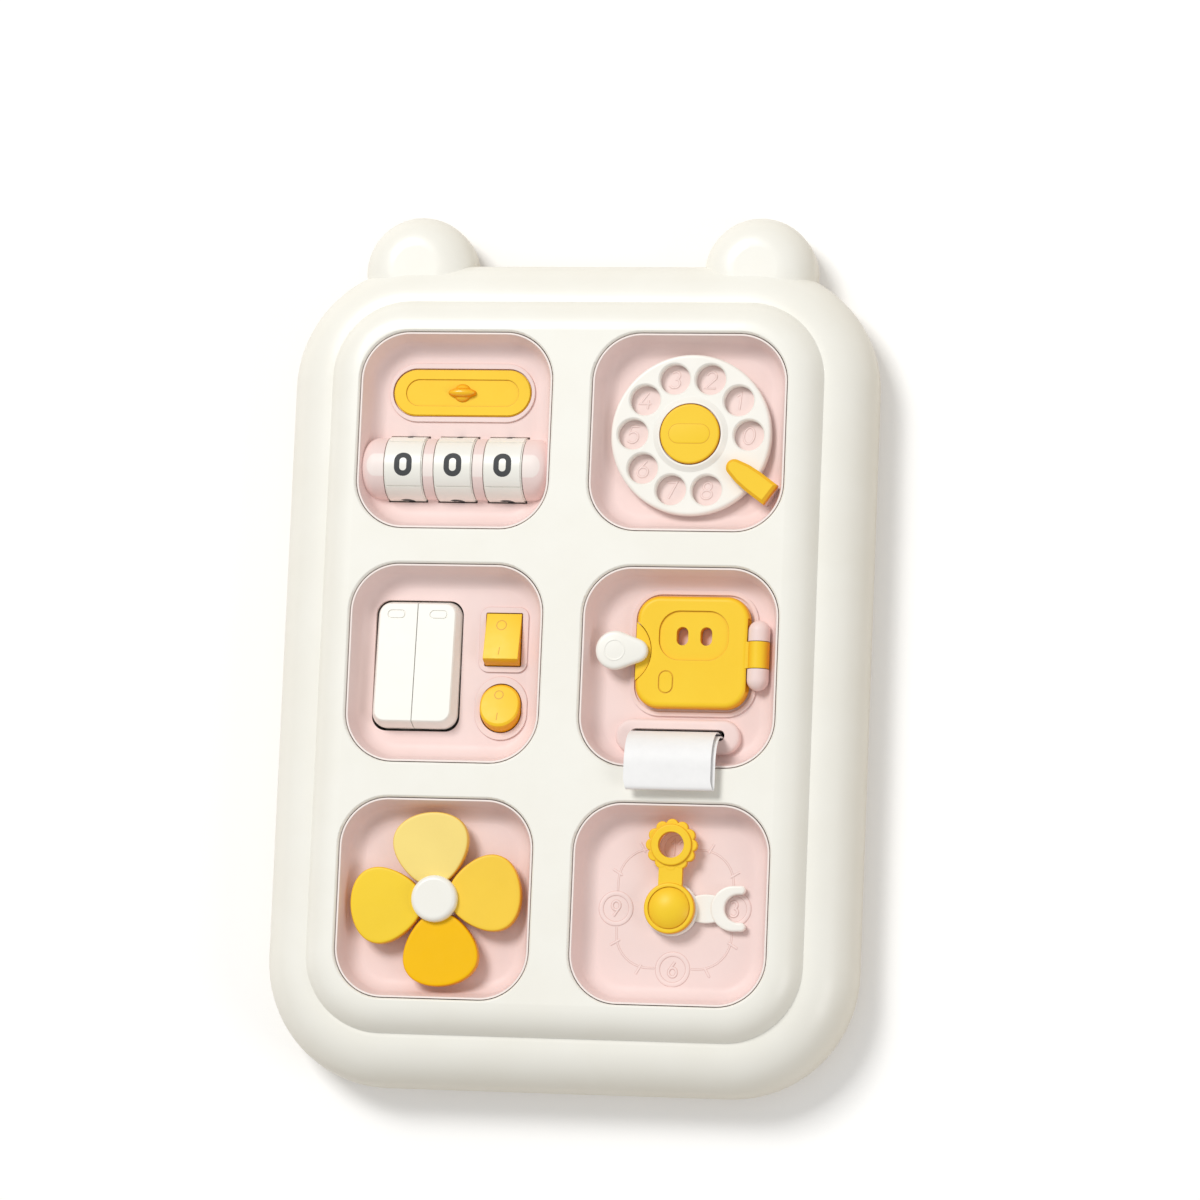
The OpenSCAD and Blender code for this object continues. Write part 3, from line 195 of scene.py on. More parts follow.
def satin(name, colour):
    """A closely woven white ribbon: fine ribs along and across it, and a soft sheen."""
    mat = bpy.data.materials.new(name)
    tree = empty_tree(mat)
    place = add(tree, "TexCoord").outputs["UV"]
    ribs = [add(tree, "TexWave", {"Vector": place, "Scale": scale, "Distortion": 0.4, "Detail": 1},
                wave_type="BANDS", bands_direction=axis).outputs["Fac"]
            for axis, scale in (("X", 190), ("Y", 240))]
    weave = add(tree, "Math", {0: ribs[0], 1: ribs[1]}, operation="MULTIPLY").outputs[0]
    shade = spread(tree, noise(tree, place, 9, 3, 0.6))
    paint = mix_colour(tree, shade, scaled(colour, 0.985), srgb(*colour))
    principled(tree, {"Base Color": paint, "Roughness": map_range(tree, weave, 0, 1, 0.5, 0.62),
                      "Normal": bump(tree, 0.1, FINE_DEPTH, weave), "Sheen Weight": 0.25,
                      "Sheen Roughness": 0.4})
    return mat


PINK_RGB, PINK_WARM = (245, 223, 219), (243, 219, 214)
CREAM = plastic("cream_plastic", (250, 249, 241), rough=0.36, coat=0.15, warm=(249, 247, 237))
# The pink trays get a painted highlight on their lips, paler between these two heights.
PINK = plastic("pink_plastic", PINK_RGB, rough=0.5, round_mm=0.3, coat=0.03, gloss=0.35, warm=PINK_WARM,
               lip_highlight=(0.0416, 0.04185, (253, 241, 236)))
PINK_FINE = plastic("pink_numerals", PINK_RGB, rough=0.5, coat=0.0, round_mm=0.05, warm=PINK_WARM)
# Darker pink, painted shade: the fine lines round moulded beads and at the feet of raised frames.
PINK_SHADE = plastic("pink_painted_shade", (227, 194, 187), rough=0.5, coat=0.0, round_mm=0.05)
# Both yellows turn deeper on steep faces: painted shade on their sides.
YELLOW = plastic("yellow_plastic", (254, 212, 50), rough=0.4, coat=0.04, gloss=0.26, warm=(253, 207, 42),
                 side=(243, 168, 14))
KNOB = plastic("knob_plastic", (252, 198, 24), rough=0.3, round_mm=0.15, warm=(252, 193, 18),
               side=(244, 146, 6))
IVORY = plastic("ivory_plastic", (250, 249, 242), rough=0.34, round_mm=0.25, warm=(249, 247, 238))
MARK = plastic("digit_ink", (76, 78, 80), rough=0.6, coat=0.0, round_mm=0.05, gloss=0.2)
# Dark yellow: the O and I marks, and lines of painted shade round raised and recessed pills on the yellow
# toys.
LINE = plastic("yellow_marks_and_painted_shade", (226, 164, 24), rough=0.45, coat=0.0, round_mm=0.05)
# The petals' faces differ in yellow; their sides are deeper in colour, which is painted shade.
PETAL_COLOURS = (((254, 228, 134), (250, 196, 62)), ((254, 212, 70), (246, 172, 24)),
                 ((254, 197, 0), (240, 158, 2)), ((254, 216, 56), (246, 178, 20)))      # faces and sides
PETALS = [plastic("petal_plastic_%d" % (i + 1), colour, rough=0.36, round_mm=0.2, coat=0.06, gloss=0.22,
                  side=side) for i, (colour, side) in enumerate(PETAL_COLOURS)]
STEEL = metal("screw_steel", (196, 199, 204))
RIBBON = satin("white_ribbon", (250, 250, 250))

BY_SLOT = {"cream": CREAM, "pink": PINK, "yellow": YELLOW, "ivory": IVORY, "steel": STEEL, "strip": RIBBON,
           "petal_top": PETALS[0], "petal_right": PETALS[1], "petal_bottom": PETALS[2],
           "petal_left": PETALS[3]}
for name, obj in nodes.items():
    mat = BY_SLOT[SLOT_OF[name]]
    if not obj.data.materials:
        obj.data.materials.append(mat)
    for s in obj.material_slots:
        s.material = mat


# ---------- pieces and meshes ----------
def put(name, mesh, body, mat, smooth=None):
    """Adds a piece that rides on a body. Edges sharper than smooth degrees stay sharp."""
    o = bpy.data.objects.new(name, mesh)
    bpy.context.collection.objects.link(o)
    mesh.materials.clear()
    mesh.materials.append(mat)
    if smooth is not None:
        for p in mesh.polygons:
            p.use_smooth = True
        mesh.set_sharp_from_angle(angle=math.radians(smooth))
    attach(o, body)
    return o


def to_mesh(name, bm):
    mesh = bpy.data.meshes.new(name)
    bm.to_mesh(mesh)
    bm.free()
    return mesh


def closed_mesh(name, bm):
    bmesh.ops.recalc_face_normals(bm, faces=bm.faces)
    return to_mesh(name, bm)


def modified(name, mesh, modifier, **settings):
    """The mesh as it comes out of one modifier."""
    o = bpy.data.objects.new(name, mesh)
    bpy.context.collection.objects.link(o)
    mod = o.modifiers.new("shape", modifier)
    for key, value in settings.items():
        setattr(mod, key, value)
    done = bpy.data.meshes.new_from_object(o.evaluated_get(bpy.context.evaluated_depsgraph_get()))
    bpy.data.objects.remove(o)
    return done


def softened(node, width):
    """A copy of a CAD node whose sharp edges are rounded, standing for the node."""
    name = node + "_soft"
    bm = bmesh.new()
    bm.from_mesh(nodes[node].data)
    bmesh.ops.remove_doubles(bm, verts=bm.verts, dist=2e-6)
    bmesh.ops.dissolve_limit(bm, angle_limit=math.radians(1.0), verts=bm.verts, edges=bm.edges)
    mesh = modified(name, to_mesh(name, bm), "BEVEL", width=width * MM, segments=3, limit_method="ANGLE",
                    angle_limit=math.radians(32), use_clamp_overlap=True, miter_outer="MITER_ARC")
    o = put(name, mesh, BODY_OF[node], BY_SLOT[SLOT_OF[node]], smooth=40)
    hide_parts(node)


def flat_place(x0, y0, z0):
    """Places a path, and heights above it, on a flat face at (x0, y0, z0)."""
    return lambda x, y, h: P(x0 + x, y0 + y, z0 + h)


def turned_place(x0, y0, degrees, z0):
    """As flat_place, with the path turned about (x0, y0)."""
    c, s = math.cos(math.radians(degrees)), math.sin(math.radians(degrees))
    return lambda x, y, h: P(x0 + x * c - y * s, y0 + x * s + y * c, z0 + h)


def skin(bm, rings):
    """Joins closed rings that have the same number of vertices."""
    for r1, r2 in zip(rings, rings[1:]):
        n = len(r1)
        for k in range(n):
            bm.faces.new((r1[k], r1[(k + 1) % n], r2[(k + 1) % n], r2[k]))


def slab(bm, path, height, edge, place, flat=0.8):
    """A solid of an anticlockwise outline, chamfered below, with a rounded upper edge and a flat top."""
    profile = [(0.4, 0), (0.1, 0.12), (0, 0.45), (0, height - edge)]
    for degrees in range(15, 91, 15):
        t = math.radians(degrees)
        profile.append((edge * (1 - math.cos(t)), height - edge + edge * math.sin(t)))
    profile.append((edge + flat, height))
    n = len(path)
    along = [(Vector(path[(k + 1) % n]) - Vector(path[k - 1])).normalized() for k in range(n)]
    rings = [[bm.verts.new(place(x - d.y * inset, y + d.x * inset, h)) for (x, y), d in zip(path, along)]
             for inset, h in profile]
    skin(bm, rings)
    bm.faces.new(rings[-1])
    bm.faces.new(rings[0][::-1])


def plateau(bm, path, height, edge, place):
    """A low raised area with a rounded edge, closed by a top face."""
    n = len(path)
    rings = []
    for inset, h in ((0, 0), (edge * 0.15, height * 0.55), (edge * 0.5, height * 0.9), (edge, height)):
        ring = []
        for i in range(n):
            a, p, b = Vector(path[i - 1]), Vector(path[i]), Vector(path[(i + 1) % n])
            t = ((p - a).normalized() + (b - p).normalized()).normalized()
            ring.append(bm.verts.new(place(p.x - t.y * inset, p.y + t.x * inset, h)))
        rings.append(ring)
    skin(bm, rings)
    bm.faces.new(rings[-1])


def stroke(bm, points, closed, profile, place):
    """Sweeps a profile [(side, height)...] along a path; place takes (x, y, height) to the row frame."""
    n = len(points)
    rings = []
    for i in range(n):
        p = Vector(points[i])
        a = Vector(points[i - 1]) if closed or i > 0 else None
        b = Vector(points[(i + 1) % n]) if closed or i < n - 1 else None
        d1 = (p - a).normalized() if a is not None else (b - p).normalized()
        d2 = (b - p).normalized() if b is not None else d1
        t = d1 + d2
        t = t.normalized() if t.length > 1e-6 else d1
        side = Vector((t.y, -t.x))
        mitre = 1.0 / max(0.5, side.dot(Vector((d1.y, -d1.x))))
        rings.append([bm.verts.new(place(p.x + side.x * s * mitre, p.y + side.y * s * mitre, h))
                      for s, h in profile])
    for i in range(n if closed else n - 1):
        r1, r2 = rings[i], rings[(i + 1) % n]
        for j in range(len(profile) - 1):
            bm.faces.new((r1[j], r1[j + 1], r2[j + 1], r2[j]))
    if not closed:
        bm.faces.new(rings[0])
        bm.faces.new(rings[-1][::-1])


def ridge(width, height, soft):
    """The profile of a low raised bead with rounded shoulders."""
    w, s = width / 2, min(soft, width / 4)
    half = [(-w, 0), (-w + 0.12 * s, height * 0.55), (-w + s * 0.5, height * 0.82), (-w + s, height * 0.92)]
    return half + [(0, height)] + [(-x, h) for x, h in half[::-1]]


def moulded(name, shade_name, paths, width, height, shade_margin, place):
    """Lines moulded on a tray: raised beads, and a piece of their own for the painted shade round them, a
    darker strip a little wider than each bead.
    Neighbours in the list differ a little in height, so that no faces coincide where paths cross."""
    line, top = bmesh.new(), bmesh.new()
    w = width / 2 + shade_margin
    for i, (points, closed) in enumerate(paths):
        lift = 0.003 * (i % 3)
        foot = [(-w, -0.01), (-w + 0.03, 0.015 + lift), (0, 0.04 + lift), (w - 0.03, 0.015 + lift),
                (w, -0.01)]
        stroke(line, points, closed, foot, place)
        stroke(top, points, closed, ridge(width, height + lift, 0.35), place)
    # The wider, darker strip under each bead is painted shade.
    put(shade_name, closed_mesh(shade_name, line), "board", PINK_SHADE)
    put(name, closed_mesh(name, top), "board", PINK_FINE, smooth=50)


def groove_line(name, path, width, body, place, mat=LINE):
    """A fine shadow line on a flat face."""
    bm = bmesh.new()
    w = width / 2
    stroke(bm, path, True, [(-w, -0.004), (-w + 0.02, 0.015), (w - 0.02, 0.015), (w, -0.004)], place)
    put(name, closed_mesh(name, bm), body, mat)


# ---------- paths ----------
def arc(cx, cy, rx, ry, a0, a1, n=14):
    angles = [math.radians(a0 + (a1 - a0) * i / n) for i in range(n + 1)]
    return [(cx + rx * math.cos(t), cy + ry * math.sin(t)) for t in angles]


def circle(cx, cy, r, n):
    return arc(cx, cy, r, r, 0, 360, n)[:-1]


def full_turn(n):
    """n even angles of a full turn, in radians."""
    return [2 * math.pi * k / n for k in range(n)]


def pill_path(w, h, n=14, cx=0.0, cy=0.0):
    r = h / 2
    return arc(cx + w / 2 - r, cy, r, r, -90, 90, n) + arc(cx - w / 2 + r, cy, r, r, 90, 270, n)


def round_rect_path(w, h, r, cx=0.0, cy=0.0, n=10):
    points = []
    for sx, sy, a0 in ((1, -1, -90), (1, 1, 0), (-1, 1, 90), (-1, -1, 180)):
        points += arc(cx + sx * (w / 2 - r), cy + sy * (h / 2 - r), r, r, a0, a0 + 90, n)
    return points


def dense(points, closed, step):
    """The path with further points, about a step apart."""
    out = []
    for a, b in zip(points, points[1:] + points[:1] if closed else points[1:]):
        a, b = Vector(a), Vector(b)
        k = max(1, int((b - a).length / step))
        out += [tuple(a.lerp(b, j / k)) for j in range(k)]
    return out if closed else out + [points[-1]]


# digits as strokes (points, closed) in a cell 0.6 wide and 1 high
CELL_W = 0.6
DIGIT_H = 6.6       # on the wheels and the dial
HOUR_H = 6.0        # on the clock
DIGITS = {
    "0": [(arc(0.3, 0.5, 0.3, 0.5, 0, 360, 32)[:-1], True)],
    "1": [([(0.12, 0.8), (0.36, 1.0), (0.36, 0.0)], False)],
    "2": [(arc(0.3, 0.7, 0.28, 0.3, 165, -25, 14) + [(0.03, 0.0), (0.6, 0.0)], False)],
    "3": [(arc(0.28, 0.755, 0.25, 0.245, 150, -80, 14), False),
          (arc(0.28, 0.27, 0.3, 0.27, 85, -150, 16), False)],
    "4": [([(0.62, 0.3), (0.0, 0.3), (0.42, 1.0)], False), ([(0.46, 0.55), (0.46, 0.0)], False)],
    "5": [([(0.56, 1.0), (0.13, 1.0), (0.07, 0.55)] + arc(0.27, 0.33, 0.31, 0.33, 125, -145, 16), False)],
    "6": [([(0.46, 1.0)] + arc(0.3, 0.3, 0.29, 0.3, 155, 503, 26), False)],
    "7": [([(0.02, 1.0), (0.58, 1.0), (0.2, 0.0)], False)],
    "8": [(arc(0.3, 0.76, 0.235, 0.24, -90, 270, 24)[:-1], True),
          (arc(0.3, 0.26, 0.3, 0.26, 90, 450, 26)[:-1], True)],
    "9": [([(0.14, 0.0)] + arc(0.3, 0.7, 0.29, 0.3, -25, 323, 26), False)],
}


def digit_paths(digit, w, h, cx, cy, slant=0.0):
    """A digit's strokes, w wide and h high, with its middle at (cx, cy)."""
    out = []
    for points, closed in DIGITS[digit]:
        sized = [((x / CELL_W - 0.5) * w, (y - 0.5) * h) for x, y in points]
        out.append(([(cx + (u + v * slant), cy + v) for u, v in sized], closed))
    return out


# ---------- lock: digits printed on the three wheels, four fields each ----------
BARREL_Y, WHEEL_R, WHEEL_PITCH = -14.5, 13.1, 20.6
FIELD_LAG = 5.0     # the fields behind the front one lie this many degrees further round
INK = [(-1.12, 0.0), (-1.1, 0.05), (0.0, 0.07), (1.1, 0.05), (1.12, 0.0)]
ZERO = (round_rect_path(5.1, 7.5, 2.45, 0.1, 0.2), True)


def wheel_place(x0, degrees):
    """Wraps a path round the wheel at x0, with its middle this far round from the front."""
    def place(x, y, h):
        a = math.radians(degrees) + y / WHEEL_R
        r = WHEEL_R + h
        return P(x0 + x, LOCK_Y + BARREL_Y + r * math.sin(a), FLOOR_Z + r * math.cos(a))
    return place


for i, wheel in enumerate(("left", "middle", "right")):
    bm = bmesh.new()
    for field in range(4):
        place = wheel_place(LOCK_X + (i - 1) * WHEEL_PITCH, -90.0 * field - (FIELD_LAG if field else 0.0))
        for points, closed in digit_paths(str(4 - field), 4.8, DIGIT_H, 0.1, 0.0) if field else [ZERO]:
            stroke(bm, dense(points, closed, 0.6), closed, INK, place)
    put("digits_" + wheel, closed_mesh("digits_" + wheel, bm), "wheel_" + wheel, MARK, smooth=30)

# ---------- dial: numerals on the track under the finger holes, and the raised pill on its cap ----------
TRACK_Z, TRACK_R = -11.8, 23.7
CAP_X, CAP_TOP = DIAL_X - 0.2, -5.1
SINK_IN = 0.005     # raised details begin this far inside their faces

numerals = []
for k in range(9):
    a = math.radians(36 * k)
    numerals += digit_paths(str(k), 4.3, DIGIT_H, TRACK_R * math.cos(a) - 0.5, TRACK_R * math.sin(a) + 0.4,
                            slant=0.1)
moulded("dial_numerals", "dial_painted_shade", numerals, 0.7, 0.26, 0.16, flat_place(DIAL_X, DIAL_Y, TRACK_Z))

bm = bmesh.new()
plateau(bm, pill_path(16.7, 7.8), 0.12, 0.3, flat_place(CAP_X, DIAL_Y, CAP_TOP - SINK_IN))
put("cap_pill", closed_mesh("cap_pill", bm), "board", YELLOW, smooth=35)
# A line of painted shade round the cap's raised pill.
groove_line("cap_line", pill_path(16.8, 7.9), 0.22, "board", flat_place(CAP_X, DIAL_Y, CAP_TOP))

# ---------- lines of painted shade: round the lock plate's recessed pill, and at the feet of the raised frames in two trays ---
PLATE_TOP = -12.8
FOOT = 0.3          # a foot line's outline is this much wider than its frame
groove_line("lock_line", pill_path(46.9, 10.9), 0.26, "board", flat_place(PLATE_X, PLATE_Y, PLATE_TOP))
for name, x0, y0, outline in (
        ("lock_frame_foot", PLATE_X, PLATE_Y, pill_path(60.5 + FOOT, 23.9 + FOOT, n=24)),
        ("small_frame_foot", ROCKER_X, SMALL_Y, round_rect_path(19.9 + FOOT, 26.4 + FOOT, 4.15)),
        ("round_frame_foot", ROCKER_X, ROUND_Y,
         [(-y, x) for x, y in pill_path(25.6 + FOOT, 21.4 + FOOT, n=24)])):
    groove_line(name, outline, 0.26, "board", flat_place(x0, y0, FLOOR_Z), PINK_SHADE)

# ---------- clock face moulded on its tray: numeral rings, track, hour bars and numerals ----------
RX, RY = 23.9, 24.3
RING_AT = ((RX, 0.6), (-RX, -0.4), (0, RY), (0, -RY + 0.2))     # at three, nine, twelve and six
RING_R, RING_CLEAR = 6.1, 7.0
BARS_AT = ((13.9, 24.4), (23.8, 14.2), (23.8, -14.0), (13.9, -24.9),
           (-13.9, -24.4), (-23.8, -13.9), (-23.8, 14.2), (-13.9, 24.4))
BAR_HALF = 2.2
HOURS_AT = (("3", RING_AT[0], 3.2), ("6", RING_AT[3], 3.3), ("9", RING_AT[1], 3.3),
            ("1", (-1.5, RY), 2.4), ("2", (1.9, RY), 2.8))         # each with its width


def outside_rings(p):
    return all(math.hypot(p[0] - x, p[1] - y) > RING_CLEAR for x, y in RING_AT)


def track_runs():
    """The clock's track, cut where it meets the numeral rings."""
    track = dense(round_rect_path(2 * RX - 1.0, 2 * RY - 1.0, 13.5), True, 0.5)
    start = next(i for i, p in enumerate(track) if not outside_rings(p))
    runs, run = [], []
    for p in track[start:] + track[:start + 1]:
        if outside_rings(p):
            run.append(p)
        else:
            if len(run) > 3:
                runs.append((run, False))
            run = []
    return runs


rings = [(circle(x, y, RING_R, 36), True) for x, y in RING_AT]
bars = []
for x, y in BARS_AT:
    d = Vector((x, y)).normalized() * BAR_HALF
    bars.append(([(x - d.x, y - d.y), (x + d.x, y + d.y)], False))
hours = []
for digit, (x, y), w in HOURS_AT:
    hours += digit_paths(digit, w, HOUR_H, x, y)
# Each with a darker strip of painted shade round it.
for name, paths, width, height, shade_margin in (
        ("clock_rings", rings, 1.7, 0.32, 0.2), ("clock_track", track_runs(), 0.5, 0.12, 0.22),
        ("clock_bars", bars, 0.8, 0.24, 0.16), ("clock_numerals", hours, 0.8, 0.34, 0.25)):
    moulded(name, name + "_painted_shade", paths, width, height, shade_margin,
            flat_place(CLOCK_X + 0.2, CLOCK_Y - 0.9, FLOOR_Z))

# ---------- O and I on the two small rockers, on their tilted faces ----------
ROCKER_PIN_Z, ROCKER_TILT, ROCKER_FACE = -13.6, math.radians(15), 4.3
SCRIBE = [(-0.2, -0.004), (-0.19, 0.02), (0.19, 0.02), (0.2, -0.004)]


def tilted_place(x0, y0):
    """As flat_place, on the face of a small rocker that is tilted on its pin."""
    c, s = math.cos(ROCKER_TILT), math.sin(ROCKER_TILT)

    def place(x, y, h):
        z = ROCKER_FACE + h
        return P(x0 + x, y0 + y * c + z * s, ROCKER_PIN_Z - y * s + z * c)
    return place


def o_and_i(name, body, y0, r, x, y_o, y_i, lean):
    bm = bmesh.new()
    place = tilted_place(ROCKER_X, y0)
    stroke(bm, circle(x, y_o, r, 30), True, SCRIBE, place)
    stroke(bm, [(x - lean, y_i - 1.6), (x + lean, y_i + 1.6)], False, SCRIBE, place)
    put(name, closed_mesh(name, bm), body, LINE, smooth=40)


o_and_i("marks_small_rocker", "switch_small", SMALL_Y, 2.0, -0.8, 4.8, -6.4, 0.15)
o_and_i("marks_round_rocker", "switch_round", ROUND_Y, 1.75, -0.6, 4.3, -5.0, 0.1)

# ---------- door tray: the latch's ring, lines of painted shade on the door, and the housing of the strip's slot ---
LATCH_X, LATCH_Y, LATCH_TOP = DOOR_X - 26.9, DOOR_Y + 6.8, -3.5
LEAF_X, LEAF_Y, LEAF_TOP = DOOR_X + 4.1, DOOR_Y + 6.8, -6.8
PANEL_DEPTH = 0.8

bm = bmesh.new()
stroke(bm, circle(0, 0, 4.1, 45), True, ridge(0.8, 0.18, 0.2),
       flat_place(LATCH_X, LATCH_Y, LATCH_TOP - SINK_IN))
put("latch_ring", closed_mesh("latch_ring", bm), "latch", IVORY, smooth=50)

# lines of painted shade round the door's recessed panel and its small upright pill
groove_line("door_line", round_rect_path(28.3, 19.9, 8.3), 0.3, "door_leaf",
            flat_place(LEAF_X + 0.6, LEAF_Y + 6.6, LEAF_TOP - PANEL_DEPTH))
groove_line("door_pill", [(y, x) for x, y in pill_path(9.2, 6.0)][::-1], 0.22, "door_leaf",
            flat_place(LEAF_X - 10.2, LEAF_Y - 12.2, LEAF_TOP))

HOOD_X, HOOD_Y, HOOD_W, HOOD_H, HOOD_RISE = -1.0, -26.9, 50.4, 13.6, 3.66
SLOT_W, SLOT_H, SLOT_FOOT = 38.4, 4.5, 3.0      # the skin ends at this height inside the slot
# how far the hood's skin stands out past its outline, from its foot to its flat top
HOOD_SIDE = ((0.25, -0.02), (0.25, 1.6), (0.2, 2.2), (0.05, 2.75), (-0.3, 3.2), (-0.75, 3.5), (-1.2, 3.62),
             (-2.0, HOOD_RISE), (-3.2, HOOD_RISE))


def slot_hood():
    """A soft-shouldered skin over the housing of the strip's slot, down into the slot."""
    bm = bmesh.new()
    place = flat_place(DOOR_X, DOOR_Y, FLOOR_Z)
    outlines = [(pill_path(HOOD_W + 2 * out, HOOD_H + 2 * out, 16, HOOD_X, HOOD_Y), h)
                for out, h in HOOD_SIDE]
    outlines += [(pill_path(SLOT_W, SLOT_H, 16, HOOD_X, HOOD_Y + 0.6), h) for h in (HOOD_RISE, SLOT_FOOT)]
    skin(bm, [[bm.verts.new(place(x, y, h)) for x, y in path] for path, h in outlines])
    return closed_mesh("slot_hood", bm)


put("slot_hood", slot_hood(), "board", PINK, smooth=50)

# ---------- the strip: one ribbon folded double, out of the slot and over the casing's front ----------
STRIP_W, STRIP_X = 35.2, -0.9
SLOT_Y, LOW = -26.3, -22.0              # where the ribbon leaves its bar
BEND, RISE, END_Y = 13.0, 5.5, -48.5    # the bend's radius, the height after it, and the outer fold
HALF_GAP, PLY_T, SKEW = 0.8, 0.42, 0.75
SKEW_SHARE, FREE_SHARE = 0.03, 0.22     # shares of its length, from the fold, that cross over and hang free
WAVE, SAG, DROOP = 0.28, 0.5, 0.7       # how far the free part strays
ACROSS = 18                             # faces across the ribbon
UV_MM = 40                              # millimetres of ribbon to one unit of its UV map


def clamp(value, low, high):
    return max(low, min(high, value))


def strip_middle():
    """The line midway between the two plies, as (y, z)."""
    rise = [(SLOT_Y, LOW + (RISE - BEND - LOW) * i / 8) for i in range(8)]
    bend = arc(SLOT_Y - BEND, RISE - BEND, BEND, BEND, 0, 90, 14)
    return rise + bend + [(SLOT_Y - BEND + (END_Y - SLOT_Y + BEND) * i / 6, RISE) for i in range(1, 7)]


def strip_loop():
    """The way along the ribbon: out on the upper ply, round the fold, and back on the lower one."""
    middle = [Vector(p) for p in strip_middle()]
    upper, lower, fold = [], [], []
    for i, p in enumerate(middle):
        t = (middle[min(len(middle) - 1, i + 1)] - middle[max(0, i - 1)]).normalized()
        side = Vector((t.y, -t.x))
        upper.append(p + side * HALF_GAP)
        lower.append(p - side * HALF_GAP)
    for i in range(1, 8):
        c, s = math.cos(math.radians(180 * i / 8)), math.sin(math.radians(180 * i / 8))
        droop = DROOP * (1 - c) / 2     # the fold reaches out further below
        fold.append(middle[-1] + Vector((-s * HALF_GAP * 1.2 - droop * s, c * HALF_GAP)))
    return upper + fold + lower[::-1]


loop = strip_loop()
length = [0.0]
for a, b in zip(loop, loop[1:]):
    length.append(length[-1] + (b - a).length)
total = length[-1]
bm = bmesh.new()
uv = bm.loops.layers.uv.new("UVMap")
grid = []
for p, run in zip(loop, length):
    past_fold = run / total - 0.5
    # the two plies lie a little out of line, the lower one further to the right
    shift = SKEW * clamp(past_fold / SKEW_SHARE, -1.0, 1.0)
    # a slight sag of the free edges and a soft wave along the ribbon
    free = clamp(1 - abs(past_fold) / FREE_SHARE, 0.0, 1.0)
    row = []
    for i in range(ACROSS + 1):
        u = i / ACROSS
        x = STRIP_X + (u - 0.5) * STRIP_W + shift
        dz = WAVE * free * math.sin(2.2 * math.pi * u + 0.6) - SAG * free * (2 * u - 1) ** 2
        row.append(bm.verts.new(P(DOOR_X + x, DOOR_Y + p.x, p.y + dz)))
    grid.append(row)
for j in range(len(loop) - 1):
    for i in range(ACROSS):
        corners = ((i, j), (i + 1, j), (i + 1, j + 1), (i, j + 1))
        face = bm.faces.new([grid[jj][ii] for ii, jj in corners])
        for corner, (ii, jj) in zip(face.loops, corners):
            corner[uv].uv = (ii / ACROSS * STRIP_W / UV_MM, length[jj] / UV_MM)
plies = modified("strip_ribbon", to_mesh("strip_ribbon", bm), "SOLIDIFY", thickness=PLY_T * MM, offset=0)
ribbon = put("strip_ribbon", plies, "strip", RIBBON, smooth=40)
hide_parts("pull_strip")

# ---------- fan petals: egg-shaped outlines with a flat top and a rounded edge ----------
PETAL_IN, PETAL_OUT, PETAL_HALF, PETAL_EGG = 5.0, 35.1, 15.0, 0.26
PETAL_LOW, PETAL_T, PETAL_EDGE, FAN_TURN = -8.2, 4.2, 0.9, 7.5
PETAL_MID, PETAL_REACH = (PETAL_OUT + PETAL_IN) / 2, (PETAL_OUT - PETAL_IN) / 2
PETAL = [(PETAL_MID + PETAL_REACH * math.cos(t), PETAL_HALF * math.sin(t) * (1 + PETAL_EGG * math.cos(t)))
         for t in full_turn(96)]
for i in range(4):
    name = "fan_petal_%d" % (i + 1)
    bm = bmesh.new()
    slab(bm, PETAL, PETAL_T, PETAL_EDGE, turned_place(FAN_X, FAN_Y, 90 - 90 * i + FAN_TURN, PETAL_LOW))
    o = put(name + "_round", closed_mesh(name + "_round", bm), "fan", PETALS[i], smooth=35)
    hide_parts(name)

# ---------- the hour hand: a hub disc, a lower arm that swells, and a crescent jaw ----------
AXLE_X, AXLE_Y = CLOCK_X - 0.95, CLOCK_Y - 1.05
HOUR_LOW, HOUR_T, HOUR_TURN = -12.4, 3.2, 1.6
HUB_R, HUB_HOLE, HUB_EDGE = 10.8, 3.3, 0.6
JAW_X, JAW_R = 25.3, 9.1                        # the crescent's outer circle
MOUTH_X, MOUTH_R = 27.3, 5.6                    # its inner circle
TIP_X = 28.4                                    # where its two round tips begin
ARM_R, ARM_HALF, ARM_MID = 14, 5.75, 14.3       # the arm lies between two arcs and is widest at ARM_MID
ARM_END, ARM_LEN = 18.6, 12.6                   # it runs from inside the hub to inside the jaw
ARM_STEP = 0.6                                  # its top lies this far below theirs


def hour_hand():
    place = turned_place(AXLE_X, AXLE_Y, HOUR_TURN, HOUR_LOW)
    tip_y, tip_r = (JAW_R + MOUTH_R) / 2, (JAW_R - MOUTH_R) / 2
    jaw = (arc(TIP_X, -tip_y, tip_r, tip_r, -90, 90, 10) + arc(MOUTH_X, 0, MOUTH_R, MOUTH_R, -90, -270, 36)
           + arc(TIP_X, tip_y, tip_r, tip_r, -90, 90, 10) + arc(JAW_X, 0, JAW_R, JAW_R, 90, 270, 48))
    arm = [(x, math.sqrt(ARM_R ** 2 - (x - ARM_MID) ** 2) - (ARM_R - ARM_HALF))
           for x in [ARM_END - ARM_LEN * k / 20 for k in range(21)]]
    bm = bmesh.new()
    slab(bm, jaw, HOUR_T, 0.8, place, flat=0.3)
    slab(bm, arm + [(x, -y) for x, y in arm[::-1]], HOUR_T - ARM_STEP, 0.5, place, flat=0.3)
    section = [(HUB_R - 0.2, 0), (HUB_R, 0.2), (HUB_R, HOUR_T - HUB_EDGE), (HUB_R - 0.18, HOUR_T - 0.18),
               (HUB_R - HUB_EDGE, HOUR_T), (HUB_HOLE, HOUR_T), (HUB_HOLE, 0)]
    hub = [[bm.verts.new(place(r * math.cos(u), r * math.sin(u), h)) for r, h in section]
           for u in full_turn(96)]
    skin(bm, hub[-1:] + hub)        # from the last section on, all the way round
    return closed_mesh("hour_hand_round", bm)


